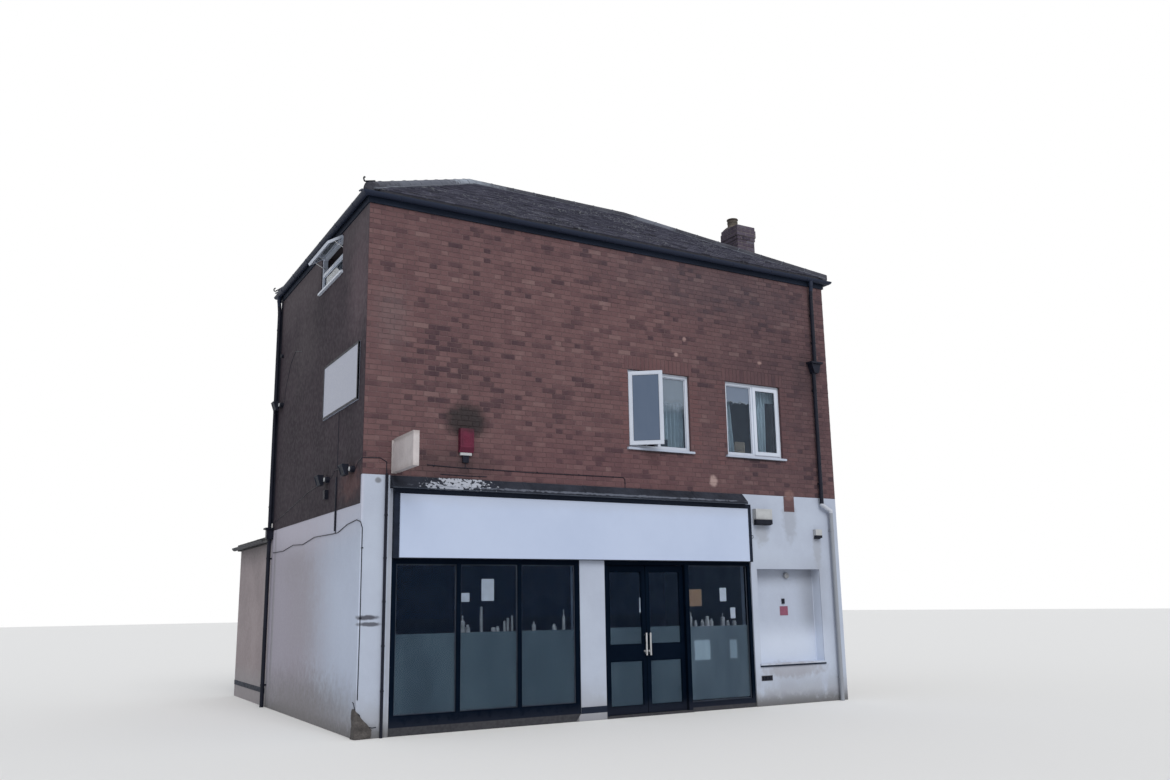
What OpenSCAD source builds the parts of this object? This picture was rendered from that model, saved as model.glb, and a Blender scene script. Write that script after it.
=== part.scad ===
// Two-storey corner shop building, millimetres, +Z up.
// Wall coordinates: the open front corner is (0, 0), X runs along the front, Y runs to the rear.
// Every piece is then shifted so that the origin is the centre of the footprint of the whole.

/* [Walls] */
// Length of the front, from the open corner to the party wall
wall_w = 8450; // [8200:10:9200]
// Depth from the front face to the rear face
wall_d = 5200; // [4900:10:5800]
// Height of the wall tops above the pavement
wall_top = 7345; // [7305:5:7800]
// Thickness of the outer walls
wall_t = 280; // [250:5:320]
// Height of the white ground storey on the front
front_white_h = 3375; // [3330:5:3500]
// Height of the white ground storey on the open side
side_white_h = 2990; // [2800:10:3200]

/* [Floors] */
// Thickness of the ground floor slab, its top is the shop floor
floor_t = 30; // [20:1:40]
// Height of the shop ceiling, the underside of the first floor
ceiling_h = 2700; // [2500:10:2900]
// Thickness of the first floor
upper_floor_t = 220; // [180:5:260]

/* [Shopfront] */
// Width of the white pier at the open corner
pier_w = 430; // [380:5:480]
// Width of the shop window's opening
shop_window_w = 2860; // [2700:10:2900]
// Width of the pilaster between shop window and doors
pilaster_w = 425; // [380:5:460]
// Width of the opening for doors and side light
entrance_w = 2785; // [2700:5:2850]
// Height of the shopfront opening
shop_head_h = 2270; // [2200:5:2350]
// Height of the plinth under the shop window
plinth_h = 105; // [80:5:140]
// Height of the plinth under the side light
side_plinth_h = 64; // [45:1:90]
// Setback of the shop window frame behind the wall face
shop_frame_setback = 12; // [5:1:30]
// Depth of the shop window frame
shop_frame_d = 70; // [50:5:90]
// Face width of the shop window's outer frame
shop_frame_w = 72; // [60:1:85]
// Face width of the shop window's mullions
mullion_w = 60; // [45:1:75]
// Height of the shop window's bottom rail
bottom_rail_h = 150; // [110:5:170]
// Thickness of the shop glass
shop_glass_t = 8; // [6:1:12]

/* [Entrance] */
// Setback of the entrance frame behind the wall face
entrance_setback = 25; // [15:1:40]
// Depth of the entrance frame
entrance_frame_d = 100; // [90:5:120]
// Face width of the entrance frame
entrance_frame_w = 60; // [50:1:70]
// Face width of the post between doors and side light
entrance_post_w = 72; // [65:1:90]
// Clear width of the doorway
doorway_w = 1420; // [1380:5:1450]
// Thickness of a door leaf
leaf_t = 44; // [40:1:50]
// Gap between a leaf and the frame at its sides and top
leaf_gap = 6; // [6:0.5:8]
// Gap between the two leaves
meeting_gap = 11; // [10.5:0.5:14]
// Gap between a leaf and the floor
leaf_floor_gap = 6; // [6:0.5:9]
// Face width of the door stiles
stile_w = 62; // [54:1:75]
// Height of the door's top rail
top_rail_h = 90; // [70:5:110]
// Height of the door's bottom rail
door_bottom_rail_h = 110; // [100:5:160]
// Height of the lock rail's lower edge above the pavement
lock_rail_z = 800; // [740:10:850]
// Height of the lock rail
lock_rail_h = 230; // [200:5:260]
// Thickness of the door glass
door_glass_t = 8; // [6:1:10]
// Diameter of a pull handle
handle_d = 30; // [24:1:36]
// Length of a pull handle
handle_len = 330; // [300:10:400]
// Height of the middle of a pull handle
handle_z = 1035; // [1000:5:1060]
// Stand-off of a pull handle's axis from the leaf
handle_standoff = 55; // [45:1:70]

/* [Door hinges] */
// Diameter of a hinge knuckle
knuckle_d = 18; // [16:1:20]
// Diameter of a hinge pin
hinge_pin_d = 10; // [8:0.5:11]
// Running clearance of the hinge pin and between knuckles
hinge_clearance = 0.3; // [0.2:0.05:0.5]
// Height of one hinge knuckle
knuckle_h = 36; // [30:1:45]
// Thickness of a hinge flap
flap_t = 3; // [2.5:0.5:4]
// Width of a hinge flap beyond the hinge axis
flap_w = 38; // [30:1:42]
// Height of the lowest hinge above the leaf's bottom
hinge_inset = 200; // [160:10:260]

/* [Fascia] */
// Projection of the fascia box from the wall
fascia_d = 60; // [45:5:90]
// Rise of the sloping flashing from the box's top to the white storey's top
flashing_rise = 175; // [140:5:200]
// Thickness of the sign board
board_t = 20; // [12:1:30]
// Border of the box above the sign board
board_top_border = 72; // [50:1:100]
// Border of the box left and right of the sign board
board_border = 78; // [50:1:100]
// Height of the sign board's lower edge above the opening's head
board_rise = 8; // [4:1:30]
// Projection of the flashing from the wall
flashing_d = 140; // [120:5:170]
// Thickness of the flashing's outer edge
flashing_edge = 32; // [20:1:45]
// Overhang of the flashing past the left end of the box
flashing_end = 45; // [30:5:60]
// Distance that the flashing stops short of the right end of the box
flashing_short = 110; // [60:10:150]

/* [Upper windows] */
// Width of a front window
window_w = 1180; // [1100:10:1250]
// Height of a front window
window_h = 1250; // [1150:10:1300]
// Height of a front window's sill line
window_z = 4010; // [3900:10:4150]
// Distance of the left front window from the open corner
window_left_x = 4212; // [4000:10:4400]
// Distance of the right front window from the open corner
window_right_x = 6135; // [5900:10:6300]
// Face width of the window frames
frame_w = 52; // [45:1:65]
// Depth of the window frames
frame_d = 70; // [60:5:80]
// Setback of the window frames behind the wall face
frame_setback = 45; // [35:5:60]
// Face width of a sash's frame
sash_w = 48; // [40:1:60]
// Depth of a sash
sash_d = 40; // [34:1:50]
// Lap of a sash over its frame
sash_lap = 12; // [8:1:16]
// Thickness of the window panes
pane_t = 24; // [16:2:28]
// Angle of the open casement
casement_angle = 37; // [20:1:60]
// Distance that the closed sash stands forward of its frame
sash_proud = 14; // [10:1:20]
// Thickness of a window sill
sill_t = 32; // [25:1:45]
// Projection of a window sill from the wall
sill_out = 45; // [30:5:60]

/* [Side window] */
// Distance of the side window from the front face
side_window_y = 1270; // [1000:10:1500]
// Width of the side window
side_window_w = 1200; // [1100:10:1300]
// Height of the side window's sill line
side_window_z = 6590; // [6550:10:6620]
// Height of the side window
side_window_h = 600; // [580:5:640]
// Height of the side window's fixed lower light
side_light_h = 200; // [180:5:230]
// Setback of the side window's frame behind the wall face
side_frame_setback = 12; // [8:1:25]
// Opening angle of the fanlight
fanlight_angle = 58; // [40:1:65]

/* [Recess] */
// Distance of the recess from the shopfront opening
recess_gap = 120; // [90:5:160]
// Width of the recess
recess_w = 1360; // [1250:10:1400]
// Height of the recess's sill
recess_z = 655; // [600:5:720]
// Height of the recess
recess_h = 1505; // [1400:5:1560]
// Depth of the recess
recess_d = 190; // [150:5:210]
// Thickness of the recess's sill
recess_sill_t = 25; // [18:1:35]
// Projection of the recess's sill
recess_sill_out = 22; // [15:1:35]

/* [Roof] */
// Pitch of all roof slopes in degrees
pitch = 32.5; // [30:0.5:35]
// Overhang of the tiles past the walls
tile_out = 70; // [55:5:90]
// Thickness of the tiled edge at the eaves
tile_edge = 55; // [45:5:70]
// Vertical thickness of the roof's slopes
roof_t = 150; // [120:5:180]
// Diameter of the ridge and hip tiles
ridge_d = 230; // [200:5:250]
// Depth that the axis of the capping lies under the arris
ridge_drop = 55; // [45:5:65]
// Overhang of the hip tiles past the tiled edge
capping_lip = 12; // [8:1:20]

/* [Chimney] */
// Width of the stack along the front
stack_w = 420; // [380:10:460]
// Depth of the stack
stack_d = 480; // [440:10:560]
// Distance of the stack from the party end
stack_gap = 30; // [20:5:60]
// Distance of the stack from the front face
stack_y = 1740; // [1600:10:1850]
// Height of the stack's top
stack_top = 9010; // [8800:10:9150]
// Height of each oversailing course
course_h = 75; // [65:1:80]
// Projection of each oversailing course
course_out = 12; // [8:1:20]
// Diameter of the pot
pot_d = 200; // [180:5:230]
// Height of the pot above the flaunching
pot_h = 230; // [180:10:300]
// Distance of the pot from the middle of the stack, to the left and to the rear
pot_shift = 70; // [0:5:80]
// Wall of the pot
pot_wall = 22; // [18:1:28]
// Height of the mortar slope around the pot
flaunch_h = 60; // [45:5:80]

/* [Rainwater] */
// Thickness of the eaves boards
eaves_board_t = 25; // [20:1:30]
// Height of the eaves boards
eaves_board_h = 140; // [120:5:150]
// Outer diameter of the half-round gutters
gutter_d = 112; // [100:2:125]
// Wall of the gutters
gutter_wall = 5; // [4:0.5:6]
// Drop of the gutters' rim under the wall top
gutter_drop = 12; // [8:1:20]
// Diameter of the downpipes
pipe_d = 68; // [60:1:75]
// Stand-off of a downpipe's axis from the wall
pipe_out = 62; // [55:1:70]
// Distance of the upper front downpipe from the party end
front_pipe_x = 330; // [300:10:380]
// Shift of the front downpipe below its hopper
hopper_shift = 45; // [30:5:60]
// Height of the front hopper's top
hopper_z = 5780; // [5600:10:5900]
// Width of a hopper
hopper_w = 270; // [240:5:300]
// Depth of a hopper
hopper_d = 150; // [140:5:170]
// Height of a hopper
hopper_h = 200; // [170:5:230]
// Height of a hopper's straight rim
hopper_rim = 30; // [20:1:40]
// Growth of a pipe's collars over its diameter
collar_extra = 8; // [6:1:14]
// Height that a swan neck or an elbow takes
neck_h = 200; // [150:10:260]
// Length of the straight socket under a gutter
socket_len = 90; // [70:5:110]
// Distance of the front pipe's elbow below the white storey's top
elbow_drop = 120; // [90:5:160]
// Shift of the front pipe's foot to the right of its upper run
foot_shift = 190; // [150:10:220]
// Height of the side hopper's top
side_hopper_z = 3040; // [2980:10:3100]
// Width of the side hopper
side_hopper_w = 190; // [170:5:210]
// Height of a pipe clip
clip_h = 30; // [24:1:40]
// Distance of the first clip from a run's end
clip_inset = 350; // [250:10:450]

/* [Fittings] */
// Distance of the projecting sign from the open corner
blade_x = 395; // [370:5:420]
// Thickness of the projecting sign
blade_t = 76; // [60:2:90]
// Length of the projecting sign
blade_len = 760; // [650:10:850]
// Height of the projecting sign
blade_h = 450; // [400:10:500]
// Height of the projecting sign's lower edge above the white storey
blade_rise = 25; // [10:5:75]
// Gap between the wall and the projecting sign
blade_gap = 90; // [70:5:120]
// Thickness of the projecting sign's wall plate
blade_plate_t = 10; // [8:1:14]
// Diameter of the projecting sign's arms
blade_arm_d = 30; // [24:1:40]
// Distance of the red bell box from the open corner
bell_x = 1360; // [1200:10:1500]
// Height of the red bell box's lower edge above the white storey
bell_rise = 370; // [325:5:425]
// Height of the bell box's tapered lower part
bell_taper = 70; // [50:5:90]
// Width of the red bell box
bell_w = 215; // [190:5:240]
// Height of the red bell box
bell_h = 340; // [310:5:370]
// Depth of the red bell box
bell_d = 85; // [70:5:100]
// Distance of the near floodlight from the front face
flood_near_y = 500; // [400:10:600]
// Distance between the two floodlights
flood_spacing = 1250; // [1100:10:1400]
// Height of the floodlights' arms above the side's white storey
flood_rise = 490; // [420:10:600]
// Reach of a floodlight's arm
flood_arm = 70; // [55:1:80]
// Thickness of a floodlight's arm
flood_arm_t = 34; // [26:1:40]
// Depth of a floodlight's head
flood_depth = 90; // [70:5:110]
// Depth of the head at its lower edge
flood_foot = 40; // [30:5:60]
// Width of a floodlight's head
flood_w = 200; // [160:5:240]
// Height of a floodlight's head
flood_h = 150; // [120:5:180]
// Distance of the rear floodlight from the rear face
flood_rear_gap = 270; // [240:10:320]
// Height of the rear floodlight's arm
flood_rear_z = 5190; // [5100:10:5300]
// Diameter of the round sensor beside each floodlight
sensor_d = 90; // [70:2:96]
// Depth of a sensor
sensor_depth = 75; // [60:1:90]
// Distance between the middles of a sensor and its floodlight
sensor_gap = 150; // [150:1:170]
// Width of the switch box under the middle floodlight
switch_w = 110; // [90:5:130]
// Height of the switch box
switch_h = 130; // [110:5:150]
// Depth of the switch box
switch_d = 60; // [45:5:80]
// Drop of the switch box's lower edge below its floodlight's arm
switch_drop = 280; // [260:5:320]
// Diameter of the upright conduit on the left pier
conduit_d = 40; // [32:1:44]
// Distance of the conduit from the shopfront opening
conduit_gap = 100; // [80:5:120]
// Rise of the conduit's top above the front's white storey
conduit_rise = 15; // [0:5:20]
// Number of saddles that hold the conduit
conduit_saddles = 5; // [3:1:7]
// Height of a saddle
saddle_h = 22; // [16:1:30]
// Diameter of the cables
cable_d = 12; // [8:1:14]
// Width of the large alarm box
alarm_w = 340; // [300:5:380]
// Height of the large alarm box
alarm_h = 245; // [220:5:270]
// Depth of the large alarm box
alarm_d = 95; // [80:5:110]
// Distance of the large alarm box's lower edge below the white storey's top
alarm_drop = 485; // [440:5:520]
// Distance of the large alarm box from the shopfront opening
alarm_gap = 85; // [60:5:110]
// Size of the small alarm box
small_alarm = 140; // [120:5:160]
// Distance of the small alarm box from the party end
small_alarm_x = 560; // [500:10:620]
// Distance of the small alarm box's lower edge below the white storey's top
small_alarm_drop = 685; // [640:5:720]
// Distance of the side sign from the front face
side_sign_y = 240; // [200:10:300]
// Length of the side sign
side_sign_w = 1760; // [1650:10:1850]
// Height of the side sign
side_sign_h = 830; // [780:10:880]
// Height of the side sign's lower edge
side_sign_z = 4430; // [4350:10:4500]
// Thickness of the side sign
side_sign_t = 30; // [22:1:40]

/* [Rear store] */
// Length of the store behind the main building
store_d = 2700; // [2400:50:2900]
// Width of the store
store_w = 3000; // [2600:50:3400]
// Height of the store's walls
store_h = 2780; // [2600:10:2900]
// Thickness of the store's walls
store_t = 215; // [200:5:230]
// Thickness of the store's roof
store_roof_t = 120; // [100:5:150]
// Overhang of the store's roof
store_roof_out = 60; // [40:5:80]
// Distance of the store's gutter from the main building
store_gutter_gap = 30; // [20:5:60]

/* [Hidden] */

// Cuts run this far past the faces they go through.
through = 5;

// Shopfront positions along the front
pilaster_x = pier_w + shop_window_w;
entrance_x = pilaster_x + pilaster_w;
right_wall_x = entrance_x + entrance_w;
bay_w = (shop_window_w - 2 * shop_frame_w - 2 * mullion_w) / 3;
bay_z = plinth_h + bottom_rail_h;
bay_h = shop_head_h - shop_frame_w - bay_z;

// Fascia: the board fills the box between its borders
fascia_top = front_white_h - flashing_rise;
board_h = fascia_top - shop_head_h - board_rise - board_top_border;

// Windows: the front windows share one size, and the rear windows stand behind them.
front_windows = [window_left_x, window_right_x];
light_w = (window_w - 3 * frame_w) / 2;
light_h = window_h - 2 * frame_w;
casement_w = light_w + 2 * sash_lap;
casement_h = light_h + 2 * sash_lap;
side_light_w = side_window_w - 2 * frame_w;
fanlight_h = side_window_h - side_light_h - 3 * frame_w;
fanlight_sash_h = fanlight_h + 2 * sash_lap;

// Gutters stand on the eaves boards. The projecting sign reaches furthest forward, the store
// furthest back, the gutter to the right, and the fanlight or a floodlight to the left.
gutter_out = eaves_board_t + gutter_d;
flood_reach = flood_arm + flood_depth;
fanlight_reach = fanlight_sash_h * sin(fanlight_angle) + sash_d * cos(fanlight_angle) - side_frame_setback;
left_reach = max(gutter_out, flood_reach, fanlight_reach);
blade_reach = blade_gap + blade_len;
rear_reach = wall_d + store_d + store_roof_out;
centre_x = (wall_w + gutter_out - left_reach) / 2;
centre_y = (rear_reach - blade_reach) / 2;

// Entrance: doorway, hinge axes and leaves
doorway_x = entrance_x + entrance_frame_w;
doorway_end = doorway_x + doorway_w;
doorway_top = shop_head_h - entrance_frame_w;
entrance_back = entrance_setback + entrance_frame_d;
leaf_w = (doorway_w - 2 * leaf_gap - meeting_gap) / 2;
leaf_z = floor_t + leaf_floor_gap;
leaf_h = doorway_top - leaf_gap - leaf_z;
leaf_back = entrance_back;
hinge_y = leaf_back + knuckle_d / 2 + 1;
hinge_x_left = doorway_x + leaf_gap / 2;
hinge_x_right = doorway_end - leaf_gap / 2;
hinge_levels = [leaf_z + hinge_inset, leaf_z + leaf_h / 2, leaf_z + leaf_h - hinge_inset];
leaf_x_left = doorway_x + leaf_gap;
leaf_x_right = doorway_end - leaf_gap - leaf_w;

// Side light, right of the doors
side_glass_x = doorway_end + entrance_post_w;
side_glass_w = right_wall_x - entrance_frame_w - side_glass_x;
side_glass_z = side_plinth_h + bottom_rail_h / 2;
side_glass_h = doorway_top - side_glass_z;

// Roof: the ridge lies over the middle of the depth
half_d = wall_d / 2;
eave_z = wall_top + tile_edge;
ridge_z = eave_z + (half_d + tile_out) * tan(pitch);
stack_x = wall_w - stack_gap - stack_w;
pot_place = [stack_x + stack_w / 2 - pot_shift, stack_y + stack_d / 2 + pot_shift, stack_top];

// Floodlights on the open side, each as [y, z] of its arm
floodlight_places = [[flood_near_y, side_white_h + flood_rise],
    [flood_near_y + flood_spacing, side_white_h + flood_rise],
    [wall_d - flood_rear_gap, flood_rear_z]];

// Cables: a small gap to the wall and to what they feed, and the run that a bend takes
cable_gap = 0.3;
cable_out = cable_d / 2 + cable_gap;
cable_bend = cable_d / 2;
cable_sides = 8;
conduit_x = pier_w - conduit_gap;
conduit_h = front_white_h + conduit_rise;

// A cable's route is a list of [place, outward direction of the wall there]. Heights are given
// above the white storey's top of the side or of the front.
function on_side(y, rise) = [[-cable_out, y, side_white_h + rise], [-1, 0, 0]];
function on_front(x, rise) = [[x, -cable_out, front_white_h + rise], [0, -1, 0]];
function unit(v) = v / norm(v);
function towards(a, b) = a + (b - a) * min(cable_bend / norm(b[0] - a[0]), 1 / 2);

// The route with each of its corners rounded by three places
function bent(route) = [route[0],
    for (i = [1:len(route) - 2])
        let (entry = towards(route[i], route[i - 1]), leave = towards(route[i], route[i + 1]))
            each [entry, (entry + 2 * route[i] + leave) / 4, leave],
    route[len(route) - 1]];

// Direction of a route at one of its places, halfway between the runs that meet there
function course(route, i) =
    let (before = route[max(i, 1)][0] - route[max(i, 1) - 1][0],
        last = len(route) - 2,
        after = route[min(i, last) + 1][0] - route[min(i, last)][0])
        unit(unit(before) + unit(after));

// One ring of a cable's skin, square to its course
function ring(route, i) =
    let (along = course(route, i),
        wall = route[i][1],
        out = unit(wall - (wall * along) * along),
        side = cross(along, out))
        [for (k = [0:cable_sides - 1])
            let (a = 360 * k / cable_sides)
                route[i][0] + (cos(a) * out + sin(a) * side) * cable_d / 2];

// Left edge of a bay of the shop window
function bay_x(i) = pier_w + shop_frame_w + i * (bay_w + mullion_w);

module placed() {
    translate([-centre_x, -centre_y, 0]) children();
}

// A box from its low corner and its size
module block(corner, size) {
    translate(corner) cube(size);
}

// A board in the wall's plane with rectangular holes, all given as [x, z, width, height]
module panel(x, z, w, h, y, depth, holes = []) {
    difference() {
        block([x, y, z], [w, depth, h]);
        for (hole = holes)
            block([hole[0], y - through, hole[1]], [hole[2], depth + 2 * through, hole[3]]);
    }
}

// Walls
module side_wall_lower() {
    color("gainsboro") placed()
        block([0, wall_t, 0], [wall_t, wall_d - 2 * wall_t, side_white_h]);
}

module side_wall_upper() {
    color("dimgray") placed() difference() {
        block([0, wall_t, side_white_h], [wall_t, wall_d - 2 * wall_t, wall_top - side_white_h]);
        block([-through, side_window_y, side_window_z],
            [wall_t + 2 * through, side_window_w, side_window_h]);
    }
}

module front_wall() {
    holes = [for (x = front_windows) [x, window_z, window_w, window_h]];
    color("brown") placed()
        panel(0, front_white_h, wall_w, wall_top - front_white_h, 0, wall_t, holes);
}

module front_pier_left() {
    color("whitesmoke") placed() block([0, 0, 0], [pier_w, wall_t, front_white_h]);
}

module front_wall_right() {
    recess_x = right_wall_x + recess_gap;
    color("whitesmoke") placed() {
        difference() {
            block([right_wall_x, 0, 0], [wall_w - right_wall_x, wall_t, front_white_h]);
            block([recess_x, -through, recess_z], [recess_w, recess_d + through, recess_h]);
        }
        block([recess_x - recess_sill_out, -recess_sill_out, recess_z - recess_sill_t],
            [recess_w + 2 * recess_sill_out, recess_sill_out, recess_sill_t]);
    }
}

module shop_pilaster() {
    color("white") placed() block([pilaster_x, 0, 0], [pilaster_w, wall_t, shop_head_h]);
}

module shopfront_beam() {
    color("gray") placed()
        block([pier_w, 0, shop_head_h], [right_wall_x - pier_w, wall_t, front_white_h - shop_head_h]);
}

module rear_wall() {
    holes = [for (x = front_windows) [x, window_z, window_w, window_h]];
    color("brown") placed() panel(0, 0, wall_w, wall_top, wall_d - wall_t, wall_t, holes);
}

module party_wall() {
    color("rosybrown") placed()
        block([wall_w - wall_t, wall_t, 0], [wall_t, wall_d - 2 * wall_t, wall_top]);
}

// Floors
module ground_floor() {
    color("darkgray") placed() {
        block([wall_t, wall_t, 0], [wall_w - 2 * wall_t, wall_d - 2 * wall_t, floor_t]);
        block([entrance_x, 0, 0], [doorway_end + entrance_post_w - entrance_x, wall_t, floor_t]);
    }
}

module first_floor() {
    color("tan") placed()
        block([wall_t, wall_t, ceiling_h], [wall_w - 2 * wall_t, wall_d - 2 * wall_t, upper_floor_t]);
}

// Shopfront
module shop_plinth() {
    post_end = doorway_end + entrance_post_w;
    color("slategray") placed() {
        block([pier_w, shop_frame_setback, 0], [shop_window_w, wall_t - shop_frame_setback, plinth_h]);
        block([post_end, entrance_setback, 0],
            [right_wall_x - post_end, wall_t - entrance_setback, side_plinth_h]);
    }
}

module shop_window_frame() {
    holes = [for (i = [0:2]) [bay_x(i), bay_z, bay_w, bay_h]];
    color("black") placed() panel(pier_w, plinth_h, shop_window_w, shop_head_h - plinth_h,
        shop_frame_setback, shop_frame_d, holes);
}

module shop_glass() {
    glass_y = shop_frame_setback + (shop_frame_d - shop_glass_t) / 2;
    side_y = entrance_setback + (entrance_frame_d - shop_glass_t) / 2;
    color("lightcyan", 0.4) placed() {
        for (i = [0:2])
            block([bay_x(i), glass_y, bay_z], [bay_w, shop_glass_t, bay_h]);
        block([side_glass_x, side_y, side_glass_z], [side_glass_w, shop_glass_t, side_glass_h]);
    }
}

// Fixed half of a hinge: two knuckles, the pin through them and a flap on the frame's inner face
module hinge_fixed(x, z, side) {
    low = z - 1.5 * knuckle_h - hinge_clearance;
    high = z + 0.5 * knuckle_h + hinge_clearance;
    translate([x, hinge_y, low]) cylinder(d = hinge_pin_d, h = high + knuckle_h - low, $fn = 48);
    for (level = [low, high]) {
        translate([x, hinge_y, level]) cylinder(d = knuckle_d, h = knuckle_h, $fn = 48);
        block([side > 0 ? x - flap_w : x, leaf_back, level], [flap_w, flap_t, knuckle_h]);
    }
}

// Moving half of a hinge: one knuckle around the pin and a flap on the leaf's inner face
module hinge_moving(x, z, side) {
    bore_d = hinge_pin_d + 2 * hinge_clearance;
    difference() {
        union() {
            translate([x, hinge_y, z - knuckle_h / 2]) cylinder(d = knuckle_d, h = knuckle_h, $fn = 48);
            block([side > 0 ? x : x - flap_w, leaf_back, z - knuckle_h / 2], [flap_w, flap_t, knuckle_h]);
        }
        translate([x, hinge_y, z - knuckle_h])
            cylinder(d = bore_d, h = 2 * knuckle_h, $fn = 48);
    }
}

module entrance_frame() {
    holes = [
        [doorway_x, -through, doorway_w, doorway_top + through],
        [side_glass_x, side_glass_z, side_glass_w, side_glass_h]
    ];
    color("black") placed() {
        difference() {
            panel(entrance_x, 0, entrance_w, shop_head_h, entrance_setback, entrance_frame_d, holes);
            block([entrance_x - through, -through, -through],
                [doorway_end + entrance_post_w - entrance_x + through, wall_t, floor_t + through]);
            block([side_glass_x, -through, -through],
                [side_glass_w + entrance_frame_w + through, wall_t, side_plinth_h + through]);
        }
        for (z = hinge_levels) {
            hinge_fixed(hinge_x_left, z, 1);
            hinge_fixed(hinge_x_right, z, -1);
        }
    }
}

// One leaf with two lights, its left edge at x
module leaf(x, hinge_x, side) {
    light_x = x + stile_w;
    light_width = leaf_w - 2 * stile_w;
    lower_z = leaf_z + door_bottom_rail_h;
    upper_z = lock_rail_z + lock_rail_h;
    holes = [
        [light_x, lower_z, light_width, lock_rail_z - lower_z],
        [light_x, upper_z, light_width, leaf_z + leaf_h - top_rail_h - upper_z]
    ];
    panel(x, leaf_z, leaf_w, leaf_h, leaf_back - leaf_t, leaf_t, holes);
    for (z = hinge_levels)
        hinge_moving(hinge_x, z, side);
}

module leaf_glass(x) {
    light_x = x + stile_w;
    light_width = leaf_w - 2 * stile_w;
    lower_z = leaf_z + door_bottom_rail_h;
    upper_z = lock_rail_z + lock_rail_h;
    glass_y = leaf_back - (leaf_t + door_glass_t) / 2;
    block([light_x, glass_y, lower_z], [light_width, door_glass_t, lock_rail_z - lower_z]);
    block([light_x, glass_y, upper_z],
        [light_width, door_glass_t, leaf_z + leaf_h - top_rail_h - upper_z]);
}

// A vertical bar on two studs in front of the leaf
module pull_handle(x) {
    face_y = leaf_back - leaf_t;
    translate([x, face_y - handle_standoff, handle_z - handle_len / 2])
        cylinder(d = handle_d, h = handle_len, $fn = 32);
    for (dz = [-1, 1])
        translate([x, face_y, handle_z + dz * (handle_len / 2 - handle_d)])
            rotate([90, 0, 0]) cylinder(d = handle_d / 2, h = handle_standoff, $fn = 32);
}

module door_left() {
    color("black") placed() leaf(leaf_x_left, hinge_x_left, 1);
}

module door_left_glass() {
    color("lightcyan", 0.4) placed() leaf_glass(leaf_x_left);
}

module door_left_handle() {
    color("silver") placed() pull_handle(leaf_x_left + leaf_w - stile_w / 2);
}

module door_right() {
    color("black") placed() leaf(leaf_x_right, hinge_x_right, -1);
}

module door_right_glass() {
    color("lightcyan", 0.4) placed() leaf_glass(leaf_x_right);
}

module door_right_handle() {
    color("silver") placed() pull_handle(leaf_x_right + stile_w / 2);
}

// Fascia
module fascia_box() {
    color("black") placed()
        block([pier_w, -fascia_d, shop_head_h], [right_wall_x - pier_w, fascia_d, fascia_top - shop_head_h]);
}

module sign_board() {
    color("white") placed()
        block([pier_w + board_border, -fascia_d - board_t, shop_head_h + board_rise],
            [right_wall_x - pier_w - 2 * board_border, board_t, board_h]);
}

// Sloping flashing with a drip edge, on top of the box
module fascia_flashing() {
    profile = [
        [0, fascia_top],
        [-flashing_d, fascia_top],
        [-flashing_d, fascia_top + flashing_edge],
        [0, front_white_h]
    ];
    color("darkslategray") placed()
        translate([right_wall_x - flashing_short, 0, 0]) rotate([90, 0, -90])
            linear_extrude(right_wall_x - pier_w + flashing_end - flashing_short)
                polygon([for (p = profile) [-p[0], p[1]]]);
}

// Upper windows: a frame with two lights
module window_frame(x, y) {
    holes = [for (i = [0, 1])
        [x + frame_w + i * (light_w + frame_w), window_z + frame_w, light_w, light_h]];
    panel(x, window_z, window_w, window_h, y, frame_d, holes);
}

// A sash in its own plane, low corner at the origin
module sash(w, h) {
    panel(0, 0, w, h, 0, sash_d, [[sash_w, sash_w, w - 2 * sash_w, h - 2 * sash_w]]);
}

module closed_sash_place() {
    translate([window_right_x + 2 * frame_w + light_w - sash_lap, frame_setback - sash_proud,
        window_z + frame_w - sash_lap]) children();
}

// A pane that fills a sash of the given size
module sash_pane(w, h) {
    block([sash_w, (sash_d - pane_t) / 2, sash_w], [w - 2 * sash_w, pane_t, h - 2 * sash_w]);
}

// Two frames, and the closed sash of the right window's right light
module front_window_frames() {
    color("white") placed() {
        for (x = front_windows)
            window_frame(x, frame_setback);
        closed_sash_place() sash(casement_w, casement_h);
    }
}

module casement_place() {
    translate([window_left_x + frame_w - sash_lap, frame_setback, window_z + frame_w - sash_lap])
        rotate([0, 0, -casement_angle]) translate([0, -sash_d, 0]) children();
}

module open_casement() {
    color("white") placed() casement_place() sash(casement_w, casement_h);
}

module rear_window_frames() {
    color("white") placed()
        for (x = front_windows)
            window_frame(x, wall_d - frame_setback - frame_d);
}

// Side window: a fixed lower light and an open fanlight above it
module side_window_frame() {
    color("white") placed() {
        difference() {
            block([side_frame_setback, side_window_y, side_window_z],
                [frame_d, side_window_w, side_window_h]);
            block([0, side_window_y + frame_w, side_window_z + frame_w],
                [wall_t, side_light_w, side_light_h]);
            block([0, side_window_y + frame_w, side_window_z + 2 * frame_w + side_light_h],
                [wall_t, side_light_w, fanlight_h]);
        }
        block([-sill_out, side_window_y - sill_out, side_window_z - sill_t],
            [sill_out, side_window_w + 2 * sill_out, sill_t]);
    }
}

module fanlight_place() {
    top_z = side_window_z + side_window_h - frame_w + sash_lap;
    translate([side_frame_setback, side_window_y + frame_w - sash_lap, top_z])
        rotate([0, fanlight_angle, 0]) rotate([0, 0, 90]) translate([0, 0, -fanlight_sash_h]) children();
}

module side_fanlight() {
    color("white") placed() fanlight_place() sash(side_light_w + 2 * sash_lap, fanlight_sash_h);
}

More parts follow.
